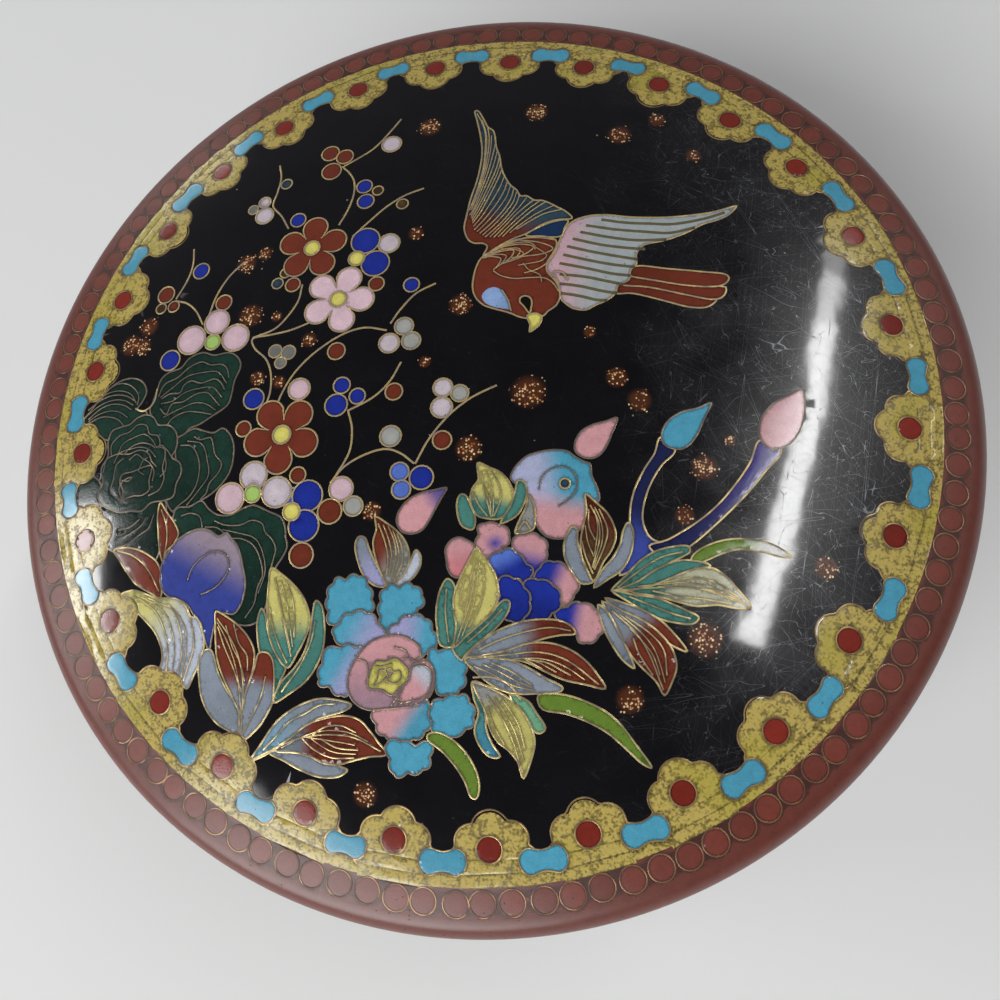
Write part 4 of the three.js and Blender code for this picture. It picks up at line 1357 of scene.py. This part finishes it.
patch("leaves", fade(TEAL * 0.8, TEAL, (15, -19.4), (18, -17.4)), [
    (13.8, -20.2), (15.2, -18.8), (16.5, -17.5), (18, -16.6), (19.6, -16.2), (20.9, -16.15),
    (21.1, -16.7), (20.3, -17.2), (19, -17.8), (17.5, -18.7), (16.0, -19.6)],
      [[(14.4, -19.9), (16.4, -18.4), (18.4, -17.2), (20.4, -16.7)]])
patch("leaves", fade(TEAL * 0.8, TEAL * 0.95, (16, -19.6), (19, -18.2)), [
    (14.4, -20.2), (16.2, -19.4), (17.8, -18.4), (19.6, -17.6), (21.3, -17.5), (22.9, -18.0),
    (21.2, -18.8), (19.5, -19.4), (17.5, -20.1)])
patch("leaves", fade(TEAL, TEAL * 0.9, (16, -20.8), (20, -22.8)), [
    (13.8, -20.2), (15.8, -20.6), (17.8, -20.9), (19.3, -21.5), (20.6, -22.1), (21.6, -22.7),
    (21, -23.3), (19.6, -23.2), (18, -22.8), (16.6, -22), (15.2, -21.2)],
      [[(15.4, -20.8), (17.4, -21.6), (19.4, -22.4), (20.8, -22.8)]])
patch("leaves", fade(TEAL * 0.8, PALE_CREAM * 0.8, (17.6, -20), (20, -20)), [
    (15.5, -20.3), (17.5, -19.8), (19.5, -19.0), (21.4, -18.3), (23, -18.2), (24.3, -19),
    (25.3, -20.2), (26.4, -21.8), (25, -21.9), (23.4, -21.6), (21.5, -21.7), (19.8, -21.3),
    (18, -20.8)], [
    [(13.8, -20.2), (17.6, -20.0), (20, -19.9), (22.5, -20.2), (24.6, -20.9), (26.2, -21.8)],
    [(18.6, -19.5), (21.4, -19.1), (23.4, -19.6), (25.4, -21.0)],
    [(17.6, -20.3), (20, -20.8), (22.4, -21.1), (24.6, -21.5)]])
patch("leaves", fade(MIST, MIST * 0.7, (13, -22), (15, -26.5)), [
    (12.5, -21.5), (13.6, -22.4), (14.4, -23.8), (15, -25.4), (15.6, -27.2), (14.5, -26.4),
    (13.6, -25), (12.9, -23.5)])
patch("leaves", fade(MIST * 0.8, BRICK, (16.2, -22.2), (18, -23.6)), [
    (13.2, -20.9), (15, -21.4), (16.6, -22.0), (17.9, -22.8), (19.1, -23.9), (20.4, -25.7),
    (19.2, -25.3), (18, -24.4), (16.4, -23.2), (14.6, -22.2)])
patch("leaves", fade(MIST * 0.8, BRICK, (15, -23.6), (16.2, -24.8)), [
    (12.9, -21.2), (14.8, -22.1), (16.6, -23), (18.1, -24.2), (19.1, -25.6), (19.4, -27.1),
    (18.9, -28.5), (18.2, -29.6), (17.5, -28.4), (16.3, -27.2), (15.3, -26), (14.5, -24.4),
    (13.7, -22.7)], [
    [(13.8, -22.1), (15.8, -24), (17, -26), (18.1, -29.1)],
    [(15, -22.6), (17, -24.0), (18.3, -25.6), (18.5, -27.8)],
    [(15.6, -24.6), (16.1, -26.0), (17.2, -27.8)]])
patch("leaves", fade(MIST * 0.85, BRICK * 0.9, (4.6, -24), (7.4, -23.6)), [
    (0.1, -26.2), (1.5, -24.8), (3, -23.8), (4.8, -23.1), (6.8, -22.75), (8.8, -22.85),
    (10, -23.4), (10.3, -24.1), (9, -24.2), (7.4, -24.5), (5.6, -25.1), (4, -25.5), (2, -26)], [
    [(1.4, -25.4), (3.2, -24.6), (5.5, -23.9), (8, -23.5), (9.9, -23.8)]])
patch("leaves", fade(MIST * 0.85, MIST * 0.95, (2, -27), (7, -29)), [
    (0.1, -26.2), (2.2, -26.0), (4, -26.3), (5.8, -27.0), (7.5, -28.0), (9, -28.8), (8.6, -29.3),
    (6.5, -29.4), (4.2, -29.3), (2.6, -28.6), (1.3, -27.6)], [
    [(1.0, -26.9), (2.6, -27.6), (4.4, -28.6), (6.4, -29.1)],
    [(2.6, -26.6), (4.4, -27.4), (6.2, -28.6)]])
patch("leaves", fade(MIST * 0.75, BRICK, (4.8, -25.6), (6.8, -26)), [
    (1.6, -26.0), (4, -25.5), (6, -24.9), (8, -24.9), (9.8, -25.5), (11.2, -26.5), (12.2, -27.7),
    (12.9, -29.0), (11, -28.6), (9.2, -28.2), (7.4, -27.4), (5.8, -26.6), (4, -26.3)], [
    [(0.6, -26.2), (4, -25.9), (7, -25.7), (9.6, -26.5), (12.3, -28.6)],
    [(6.3, -26.4), (7.8, -26.7), (9.8, -27.8)],
    [(5.5, -26.2), (7.2, -27.2)]])
patch("leaves", fade(TEAL * 0.9, TEAL, (-1.2, -20), (-1.6, -24)), [
    (-1.5, -18.8), (-0.9, -19.3), (-0.7, -20.5), (-0.9, -22), (-0.6, -23.4), (-0.9, -25),
    (-2.2, -24.9), (-2.5, -23.5), (-2.6, -22), (-2.4, -20.5), (-2.0, -19.4)],
      [[(-1.6, -19.8), (-1.7, -22), (-1.4, -24.6)]])
patch("leaves", fade(TEAL, TEAL * 0.85, (3.6, -21.8), (0.5, -25)), [
    (3.9, -20.9), (4.35, -21.1), (4.2, -22), (3.4, -23.1), (2.3, -24.1), (1.2, -24.9),
    (0.2, -25.8), (-0.3, -26.3), (-1.1, -25.0), (0.2, -24), (1.5, -23.1), (2.6, -22.2),
    (3.3, -21.3)], [[(3.6, -21.8), (2.2, -23.2), (0.4, -24.7)]])
patch("leaves", fade(CREAM, TEAL, (0.6, -22.2), (0.0, -24.2)), [
    (1.3, -16.0), (2.2, -17.1), (3, -18.5), (3.35, -20), (3.1, -21.3), (2.3, -22.4),
    (1.3, -23.3), (0.2, -24.2), (-0.9, -25.1), (-0.7, -23.3), (-0.9, -21.8), (-0.9, -20.4),
    (-0.4, -19), (0.3, -17.6), (0.8, -16.7)], [
    [(1.2, -17), (0.7, -19), (0.4, -20.8), (0.1, -22.5), (-0.7, -24.8)],
    [(1.9, -17.6), (2.0, -19.5), (1.5, -21.5), (0.5, -23.3)],
    [(0.2, -18.6), (-0.2, -20.2), (-0.2, -21.6)]])
patch("leaves", fade(TEAL, TURQUOISE * 0.7, (1.0, -30.5), (1.9, -34)), [
    (0.7, -28.4), (1.3, -29.4), (1.9, -31), (2.0, -32.5), (2.5, -33.8), (3.2, -34.9), (2.2, -34.9),
    (1.3, -33.9), (0.9, -32.6), (1.3, -31.0), (0.9, -29.8)])
patch("leaves", plain(tone(0.45, 0.66, 0.52)), [
    (4.2, -29.5), (5.8, -30.0), (6.6, -31.1), (7.4, -32.4), (6.8, -32.9), (6.1, -32.4),
    (5.4, -31.4)])
patch("leaves", fade(GREY_WHITE * 0.7, CREAM * 0.85, (2.4, -29.2), (3.4, -31)), [
    (0.8, -28.3), (2.5, -28.9), (4, -29.7), (5.3, -30.9), (6.1, -32.3), (6.4, -33.6), (6.1, -35),
    (5.3, -36.8), (4.8, -35.4), (4, -34.4), (3, -33.6), (2.3, -32.4), (1.9, -30.9)], [
    [(2.2, -29.6), (3.4, -31.4), (4.4, -33.6), (5.2, -36.2)],
    [(3.6, -30), (4.9, -32), (5.5, -34.2)],
    [(2.2, -30.6), (2.7, -32.2), (3.6, -33.8)]])
line([(0.8, -28.3), (3.0, -28.9), (4.8, -29.4), (6.8, -29.4)])
line([(0.9, -27.9), (2.6, -27.9), (4.2, -28.6), (5.2, -29.9)])

# %% Goldstone in the ground
FLECKS = [
    (6.4, -0.6, 1.6), (15.0, 0.6, 1.0), (17.1, -1.8, 1.1), (22.9, -8.7, 1.2), (22.1, -24.7, 1.5),
    (-4.7, 33.2, 1.2), (-24.7, 17.2, 1.1), (-22.6, 18.2, 0.8), (-23.5, 10.5, 1.3),
    (-36, 11, 1.1), (-38, 9, 1.2), (-36.5, 8.6, 1.0), (-0.5, 9.4, 1.1), (7.3, 34.1, 1.2),
    (20.4, 32.1, 0.9), (16.3, 30.1, 1.2), (15.1, -30, 1.2), (-9.5, -38.3, 1.1),
    (0.5, -6.2, 1.2), (20.8, -13.3, 0.9), (33.5, -18.2, 1.1), (-5.5, 18.5, 0.8),
    (-22, 3, 0.8), (-19.5, 2.3, 0.7), (24, 27, 0.8), (-9, -12, 0.9), (-16.5, 6.8, 0.8),
    (-20.4, 10.0, 0.6), (12.5, 5.6, 0.6), (25.5, -6.0, 0.5), (-4.0, 3.2, 0.6),
]


def goldstone(spots):
    """How much goldstone there is: full in the middle of a fleck, none at its edge."""
    amount = np.zeros(len(spots))
    for x, y, size in FLECKS:
        near = np.hypot(spots[:, 0] - x, spots[:, 1] - y) / (1.35 * size)
        amount = np.maximum(amount, np.clip(1 - near, 0, 1))
    return np.repeat(amount[:, None], 3, axis=1)


for x, y, size in FLECKS:
    for share in (0.3, 0.6, 0.95, 1.35):
        lid.edges(circle(x, y, size * share, 14))

# %% [markdown]
# ## The lid's border
#
# The ochre lappets, red dots, turquoise dumbbells and wire rings come last, over the edge of the
# picture.

# %% Ring row, lappets, dots and dumbbells
LAPPETS, FIRST = 28, -7.3


def lappet_angle(number):
    """Where a lappet stands: even steps, with a slow drift round the lid."""
    even = -number * 2 * math.pi / LAPPETS
    drift = (0.9 * math.cos(even) + 2.5 * math.sin(even) + 1.9 * math.sin(2 * even)
             + 0.3 * math.cos(3 * even) + 0.8 * math.sin(3 * even))
    return even + math.radians(FIRST + drift)


LOBES = ((0.0, 3.5, 1.75), (-1.8, 2.6, 1.6), (1.8, 2.6, 1.6), (-2.8, 1.0, 1.35), (2.8, 1.0, 1.35))
PEANUT = ((2.45, 0), (2.2, 0.78), (1.45, 1.2), (0.65, 1.02), (0, 0.92), (-0.65, 1.02),
          (-1.45, 1.2), (-2.2, 0.78), (-2.45, 0), (-2.2, -0.78), (-1.45, -1.2), (-0.65, -1.02),
          (0, -0.92), (0.65, -1.02), (1.45, -1.2), (2.2, -0.78))


def lappet(drawing, angle, foot, up=-1):
    """An ochre lappet with five lobes. Its glass doesn't quite fill some of the lobes."""
    full = [(x, y, size * (1 + hand.uniform(-0.07, 0.07))) for x, y, size in LOBES]
    short = [(x, y, size - max(0.0, hand.uniform(-0.25, 0.18)) - (0.08 if y > 3 else 0.0))
             for x, y, size in full]
    scallop = lobed((0.0, 0.4), full, -12, 192, 48)
    places = np.array([spoke(angle, foot + up * y, x) for x, y in scallop])
    drawing.area(places, "ground", goldstone)
    drawing.fill(places, 0.6)
    wide = scallop[0][0] + 0.05
    foot_strip = [(-wide, -1.4), (wide, -1.4), (wide, 0.9), (-wide, 0.9)]
    for shape in (lobed((0.0, 0.4), short, -12, 192, 48), foot_strip):
        drawing.area([spoke(angle, foot + up * y, x) for x, y in shape], "ochre", plain(OCHRE))
    drawing.wire(places, 0.15, piece="border wires")


def dumbbell(drawing, angle, far):
    """A turquoise cell like a peanut, across the border."""
    stretch, slip = hand.uniform(0.93, 1.05), hand.uniform(-0.12, 0.12)
    places = np.array([spoke(angle, far + 0.95 * y * stretch + x * slip * 0.5, 0.87 * x * stretch)
                       for x, y in smooth(PEANUT, closed=True, steps=3)])
    drawing.cell(places, "turquoise", plain(TURQUOISE * hand.uniform(0.88, 1.05)), 0.13,
                 wires="border wires")


def dot(drawing, angle, far, side=0.0):
    """A round brick red cell."""
    drawing.cell(circle(*spoke(angle, far, side), 1.2, 24), "dots",
                 plain(DOT_RED * hand.uniform(0.8, 1.1)), 0.14, wires="border wires")


def ring_row(drawing, far, radius):
    """A row of wire rings in the red glass, nearly touching."""
    count = round(2 * math.pi * radius / RING_STEP)
    for number in range(count):
        angle = (number + hand.uniform(-0.06, 0.06)) * 2 * math.pi / count
        slip = hand.uniform(-0.08, 0.08)
        ring = wrapped(angle, far + slip, radius, circle(0, 0, RING_SIZE, 18))
        drawing.cell(ring, "rim", plain(RING_RED * hand.uniform(0.85, 1.12)), 0.13,
                     wires="rim wires")


def wrapped(angle, far, radius, outline):
    """An outline in real mm on a wall of some radius: x runs round it, y along its profile."""
    return np.array([spoke(angle + x / radius, far + y) for x, y in outline])


for number in range(LAPPETS):
    lappet(lid, lappet_angle(number), BLACK_EDGE + hand.uniform(-0.2, 0.2))
for number in range(LAPPETS):
    angle = lappet_angle(number)
    dot(lid, angle, DOT_ROW + hand.uniform(-0.25, 0.15), hand.uniform(-0.3, 0.3))
    dumbbell(lid, (angle + lappet_angle(number + 1)) / 2, DUMBBELL_ROW + hand.uniform(-0.2, 0.2))
ring_row(lid, RING_ROW, RING_ROW)

# %% [markdown]
# ## The lid's wall
#
# The wall under the shoulder can't be seen from above. It is finished like the top, and more
# plainly: a black band between two wires, with a plum blossom over every lappet and a turquoise
# dumbbell between each two.

# %% Lid wall
def small_blossom(drawing, angle, far, radius, colour, heart):
    """A plum blossom on a wall, with five petals in one outline."""
    turn = hand.uniform(0, 1.2)
    lobes = [(1.25 * math.cos(turn + k * 1.2566), 1.25 * math.sin(turn + k * 1.2566), 0.78)
             for k in range(5)]
    outline = lobed((0, 0), lobes + [(0, 0, 0.8)], steps=50)
    drawing.cell(wrapped(angle, far, radius, outline), "blossom", plain(colour), 0.15, 0.25)
    drawing.cell(wrapped(angle, far, radius, circle(0, 0, 0.55, 14)), "blossom", plain(heart),
                 0.13)


BLOSSOM_COLOURS = (BLOSSOM_PINK, BRICK, ROYAL, BLOSSOM_PINK)
for far in WALL_BAND:
    lid.wire(circle(0, 0, far, 360), 0.18, piece="border wires")
for number in range(LAPPETS):
    angle, middle = lappet_angle(number), sum(WALL_BAND) / 2
    small_blossom(lid, angle, middle, WIDEST, BLOSSOM_COLOURS[number % 4], HEART_YELLOW)
    between = (angle + lappet_angle(number + 1)) / 2
    peanut = wrapped(between, middle, WIDEST, np.array(smooth(PEANUT, closed=True, steps=3)) * 0.7)
    lid.cell(peanut, "turquoise", plain(TURQUOISE), 0.13, wires="border wires")

# %% Cut the lid's drawing and make its sheets
glass, pitted_glass = cell_glass("cell_glass"), cell_glass("pitted_glass", pits=0.34)
rim_glass = cell_glass("rim_glass", cloud=0.22, grain=0.25, pits=0.2, edge=0.6, rough=0.36)
rock_glass = cell_glass("rock_glass", cloud=0.4, grain=0.4, pits=0.3, edge=0.55)
border_wire = gilt_wire("border_wire", (0.68, 0.57, 0.38), (0.42, 0.33, 0.22))
dot_glass = cell_glass("dot_glass", cloud=0.2, grain=0.2)
black_glass = black_ground("black_ground")
ochre_glass = mottled_ochre("mottled_ochre")

lid.cut()
make_sheets(lid, {
    "ground": ("lid_black_ground", black_glass, "lid_enamel", "lid"),
    "rim": ("lid_red_rim", rim_glass, "lid_enamel", "lid"),
    "ochre": ("lid_ochre_border", ochre_glass, "lid_enamel", "lid"),
    "dots": ("lid_red_dots", dot_glass, "lid_enamel", "lid"),
    "turquoise": ("lid_turquoise_cells", glass, "lid_enamel", "lid"),
    "blossom": ("lid_blossoms", glass, "lid_enamel", "lid"),
    "rock": ("lid_rock", rock_glass, "lid_enamel", "lid"),
    "bird": ("lid_bird", pitted_glass, "lid_enamel", "lid"),
    "leaves": ("lid_leaves", pitted_glass, "lid_enamel", "lid"),
    "stems": ("lid_stems", glass, "lid_enamel", "lid"),
    "flowers": ("lid_flowers", glass, "lid_enamel", "lid"),
    "wires": ("lid_picture_wires", wire_metal, "gilt_wire", "lid"),
    "border wires": ("lid_border_wires", border_wire, "gilt_wire", "lid"),
    "rim wires": ("lid_rim_wires", dull_wire, "gilt_wire", "lid"),
    "leaf wires": ("lid_leaf_wires", bright_wire, "gilt_wire", "lid"),
    "petal wires": ("lid_petal_wires", grey_wire, "gilt_wire", "lid"),
})

# %% [markdown]
# ## The base's drawing
#
# The base can't be seen from above. It is finished in keeping with the lid, and more plainly: the
# same red rim with a row of rings under the mouth, plum sprigs on the black ground, and ochre
# lappets standing up from the foot. Its flat drawing starts at the foot and runs up the round belly
# to the mouth.

# %% The base's skin
BELLY_FROM, BELLY_CENTRE, BELLY_BOTTOM = 17.0, 36.0, 3.4
FOOT_OUTER, FOOT_INNER = 35.0, 33.4
belly_reach, belly_drop = SEAM_RADIUS - BELLY_CENTRE, BELLY_FROM - BELLY_BOTTOM
belly = arc_points((BELLY_CENTRE, BELLY_FROM), (belly_reach, belly_drop), -90, 0, 60)
radius = np.concatenate([belly[0], np.full(20, SEAM_RADIUS)])
height = np.concatenate([belly[1], np.linspace(BELLY_FROM, SEAM_HEIGHT, 21)[1:]])
along = np.concatenate([[0], np.cumsum(np.hypot(np.diff(radius), np.diff(height)))])
base_skin = Skin(BELLY_CENTRE + along[::1], radius, height)
base_skin.turn_over()
BASE_EDGE = float(base_skin.spread[-1])
print("the base's flat drawing: foot at", BELLY_CENTRE, "mouth at", round(BASE_EDGE, 2))

# %% The base's drawing
base = Drawing(base_skin, "base")
FOOT_LAPPETS, SPRIGS, SPRIG_SIZE = 24, 7, 0.86
MOUTH_BAND, LAPPET_FOOT = BASE_EDGE - 5.4, BELLY_CENTRE + 2.6
base.area(circle(0, 0, BASE_EDGE - BARE_RIM, 360), "rim", plain(RIM_RED))
base.area(circle(0, 0, MOUTH_BAND, 360), "ground", goldstone)
base.area(circle(0, 0, LAPPET_FOOT + 1.0, 240), "ochre", plain(OCHRE))
base.wire(circle(0, 0, MOUTH_BAND, 360), 0.18, piece="border wires")
ring_row(base, BASE_EDGE - 2.9, SEAM_RADIUS)
for number in range(FOOT_LAPPETS):
    angle = (number + hand.uniform(-0.05, 0.05)) * 2 * math.pi / FOOT_LAPPETS
    lappet(base, angle, LAPPET_FOOT, up=1)
    dot(base, angle, LAPPET_FOOT + 1.9)
    dumbbell(base, angle + math.pi / FOOT_LAPPETS, LAPPET_FOOT + 0.9)

TWIG = ((-16, -3), (-11, 1.5), (-5, 2.2), (0, -0.6), (6, 1.2), (11, 4.2), (15.5, 2.6))
SIDE_TWIGS = (((-11, 1.5), (-9.5, 5), (-6.5, 7)), ((0, -0.6), (3.5, -4), (8, -5.6)),
              ((6, 1.2), (4.5, 5.2), (1.5, 7.4)))
MIDDLE = (LAPPET_FOOT + 6 + MOUTH_BAND) / 2
for sprig in range(SPRIGS):
    angle = sprig * 2 * math.pi / SPRIGS
    mirror = 1 if sprig % 2 else -1

    def placed(points):
        """The sprig's own points, put on the base's wall."""
        return wrapped(angle, MIDDLE, SEAM_RADIUS, [
            (mirror * x * SPRIG_SIZE, y * SPRIG_SIZE) for x, y in points])

    for twig in (TWIG, *SIDE_TWIGS):
        base.wire(smooth(placed(smooth(twig, steps=4)), steps=1), 0.2)
    for number, (x, y) in enumerate(((-11, 1.5), (0, -0.6), (11, 4.2))):
        around = angle + mirror * x * SPRIG_SIZE / SEAM_RADIUS
        small_blossom(base, around, MIDDLE + y * SPRIG_SIZE, SEAM_RADIUS,
                      BLOSSOM_COLOURS[(sprig + number) % 4], HEART_YELLOW)
    for x, y in ((-16, -3), (-6.5, 7), (8, -5.6), (1.5, 7.4), (15.5, 2.6), (-4.2, 3.4)):
        colour = (ROYAL, BRICK, BLOSSOM_WHITE)[hand.randrange(3)]
        outline = placed(np.array(circle(0, 0, 0.85, 16)) + (x, y))
        base.cell(outline, "blossom", plain(colour), 0.15)

base.area(circle(0, 0, BELLY_CENTRE + 0.6, 240), "nothing", None)
grid(base, BELLY_CENTRE + 1.2, BASE_EDGE - 1.5, 2.2)
grid(base, LAPPET_FOOT - 1.4, LAPPET_FOOT + 1.4, 0.8)
base.cut()
make_sheets(base, {
    "ground": ("base_black_ground", black_glass, "base_enamel", "base"),
    "rim": ("base_red_rim", rim_glass, "base_enamel", "base"),
    "ochre": ("base_ochre_border", ochre_glass, "base_enamel", "base"),
    "dots": ("base_red_dots", dot_glass, "base_enamel", "base"),
    "turquoise": ("base_turquoise_cells", glass, "base_enamel", "base"),
    "blossom": ("base_blossoms", glass, "base_enamel", "base"),
    "wires": ("base_twig_wires", wire_metal, "gilt_wire", "base"),
    "border wires": ("base_border_wires", border_wire, "gilt_wire", "base"),
    "rim wires": ("base_rim_wires", dull_wire, "gilt_wire", "base"),
})

# %% [markdown]
# ## The copper bodies
#
# Under the glass both pieces are turned copper. It shows only as a narrow bare rim on either side of
# the seam, on the lip that the lid slides over, and on the foot ring. Inside, plain turquoise glass
# covers the copper, as it does on most such boxes, so the firing pulls evenly on both faces.

# %% Turned bodies
def turned(name, sections, slot, node, steps=240):
    """A closed turned body from sections (material, radii, heights) that follow on each other."""
    profile, kinds, materials = [], [], []
    for material, radii, heights in sections:
        if material not in materials:
            materials.append(material)
        for point in zip(radii, heights):
            if not profile or math.dist(profile[-1], point) > 1e-4:
                profile.append(point)
                kinds.append(materials.index(material))
    rings, vertices, faces, paints = [], [], [], []
    for around, high in profile:
        count = 1 if around < 1e-6 else steps
        angle = np.arange(count) * 2 * math.pi / count
        rings.append(np.arange(count) + len(vertices))
        vertices += [(around * math.cos(a) * MM, around * math.sin(a) * MM, high * MM)
                     for a in angle]
    for first, second, kind in zip(rings, rings[1:], kinds[1:]):
        for k in range(steps):
            corners = [first[k % len(first)], second[k % len(second)],
                       second[(k + 1) % len(second)], first[(k + 1) % len(first)]]
            faces.append(list(dict.fromkeys(int(c) for c in corners)))
            paints.append(kind)
    mesh = bpy.data.meshes.new(name)
    mesh.from_pydata(vertices, [], faces)
    for material in materials:
        mesh.materials.append(material)
    mesh.polygons.foreach_set("material_index", paints)
    mesh.shade_smooth()
    mesh.set_sharp_from_angle(angle=math.radians(35))
    body = bpy.data.objects.new(name, mesh)
    bpy.context.scene.collection.objects.link(body)
    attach(body, "root")
    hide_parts(node)
    print(name, len(faces), "faces")
    return body


def sunk(skin, start, stop, count, depth=ENAMEL - 0.05):
    """The profile under a stretch of enamel, from one place on the flat drawing to another."""
    far = np.linspace(start, stop, count)
    flat = np.column_stack([far, np.zeros(count)])
    places = skin.place(flat, np.full(count, -depth)) / MM
    return places[:, 0], places[:, 2]


inner_dome = arc_points((0.0, float(lid_high[2]) - DOME_RADIUS),
                        (DOME_RADIUS - WALL, DOME_RADIUS - WALL), 75.7, 90, 40)
inner_radius = inner_dome[0].copy()
inner_radius[-1] = 0.0
LID_INSIDE = SEAM_RADIUS - WALL
turned("lid_copper", [
    (brass, *sunk(lid_skin, 0.0, LID_EDGE - BARE_RIM, 120)),
    (brass, [SEAM_RADIUS + 0.02, SEAM_RADIUS, LID_INSIDE],
     [SEAM_HEIGHT + BARE_RIM, SEAM_HEIGHT, SEAM_HEIGHT]),
    (turquoise_inside, [LID_INSIDE, *inner_radius], [SEAM_HEIGHT + 0.6, *inner_dome[1]]),
], "gilt_wire", "lid")

LIP_OUTER, LIP_INNER, LIP_TOP, LIP_BOTTOM, LEAD_IN = 48.4, 47.4, 35.0, 25.0, 0.3
inner_belly = arc_points((BELLY_CENTRE, BELLY_FROM), (belly_reach - WALL, belly_drop - WALL),
                         -90, 0, 40)
turned("base_copper", [
    (turquoise_inside, [0.0, *inner_belly[0], LID_INSIDE],
     [BELLY_BOTTOM + WALL, *inner_belly[1], LIP_BOTTOM]),
    (brass, [LIP_INNER, LIP_INNER, LIP_OUTER - LEAD_IN, LIP_OUTER, LIP_OUTER, SEAM_RADIUS,
             SEAM_RADIUS],
     [LIP_BOTTOM, LIP_TOP, LIP_TOP, LIP_TOP - LEAD_IN, SEAM_HEIGHT, SEAM_HEIGHT,
      SEAM_HEIGHT - BARE_RIM]),
    (brass, *sunk(base_skin, BASE_EDGE - BARE_RIM, BELLY_CENTRE + 0.6, 80)),
    (brass, [BELLY_CENTRE + 0.6, FOOT_OUTER, FOOT_OUTER, FOOT_INNER, FOOT_INNER],
     [BELLY_BOTTOM + 0.02, BELLY_BOTTOM, 0.0, 0.0, BELLY_BOTTOM]),
    (turquoise_inside, [FOOT_INNER - 0.5, 0.0], [BELLY_BOTTOM, BELLY_BOTTOM]),
], "gilt_wire", "base")

# %% [markdown]
# ## Floor and light

# %% Floor
def soft_floor():
    """A pale table top."""
    size = 3.0
    mesh = bpy.data.meshes.new("floor")
    corners = [(-size, -size, 0), (size, -size, 0), (size, size, 0), (-size, size, 0)]
    mesh.from_pydata(corners, [], [(0, 1, 2, 3)])
    floor = bpy.data.objects.new("floor", mesh)
    bpy.context.scene.collection.objects.link(floor)
    top = Finish("pale_floor", Roughness=0.6)
    floor.data.materials.append(top.finish(Base_Color=(*tone(0.93, 0.935, 0.93), 1.0)))


soft_floor()

# %% Lights
def softbox(name, place, aim, width, height, power, colour=(1, 1, 1)):
    """A rectangular softbox at a place, turned towards an aim. Metres and watts."""
    data = bpy.data.lights.new(name, "AREA")
    data.shape, data.size, data.size_y = "RECTANGLE", width, height
    data.energy, data.color = power, colour
    light = bpy.data.objects.new(name, data)
    bpy.context.scene.collection.objects.link(light)
    light.location = place
    light.rotation_euler = (Vector(aim) - Vector(place)).to_track_quat("-Z", "Y").to_euler()
    return light


def seen_at(azimuth, elevation, distance):
    """A place seen from the box in that direction, in metres."""
    turn, rise = math.radians(azimuth), math.radians(elevation)
    return Vector((math.cos(turn) * math.cos(rise), math.sin(turn) * math.cos(rise),
                   math.sin(rise))) * distance


LID_TOP = Vector((0, 0, 0.04))
strip_start, strip_stop = Vector((0.351, -0.124, 0.84)), Vector((0.712, 0.873, 0.84))
strip_run = strip_stop - strip_start
for number, (start, stop, power) in enumerate(((0.0, 0.66, 1.85), (0.66, 0.82, 0.28),
                                               (0.82, 1.0, 0.12))):
    middle = strip_start + strip_run * (start + stop) / 2
    strip = softbox(f"strip_light_{number}", middle, LID_TOP, strip_run.length * (stop - start),
                    0.05, power)
    strip.rotation_euler = (0, 0, math.atan2(strip_run.y, strip_run.x))

softbox("left_window", seen_at(180, 34.5, 1.2), LID_TOP, 0.42, 0.12, 2.2)
softbox("far_left_window", seen_at(131, 20, 1.3), LID_TOP, 0.35, 0.10, 0.5)
softbox("key_softbox", seen_at(240, 38, 1.35), LID_TOP, 1.2, 0.7, 16.0)

world = bpy.data.worlds.new("studio")
bpy.context.scene.world = world
world.use_nodes = True
sky = world.node_tree
background = sky.nodes["Background"]
direction = sky.nodes.new("ShaderNodeTexCoord")
up = sky.nodes.new("ShaderNodeSeparateXYZ")
shade = sky.nodes.new("ShaderNodeValToRGB")
for stop, (place, level) in zip(
        [shade.color_ramp.elements[0], shade.color_ramp.elements.new(0.3),
         shade.color_ramp.elements[-1]], ((0.10, 0.55), (0.36, 0.11), (0.9, 0.05))):
    stop.position, stop.color = place, (level, level, level * 1.03, 1.0)
sky.links.new(direction.outputs["Generated"], up.inputs[0])
sky.links.new(up.outputs["Z"], shade.inputs["Fac"])
sky.links.new(shade.outputs["Color"], background.inputs["Color"])
bpy.context.scene.view_settings.view_transform = "Standard"
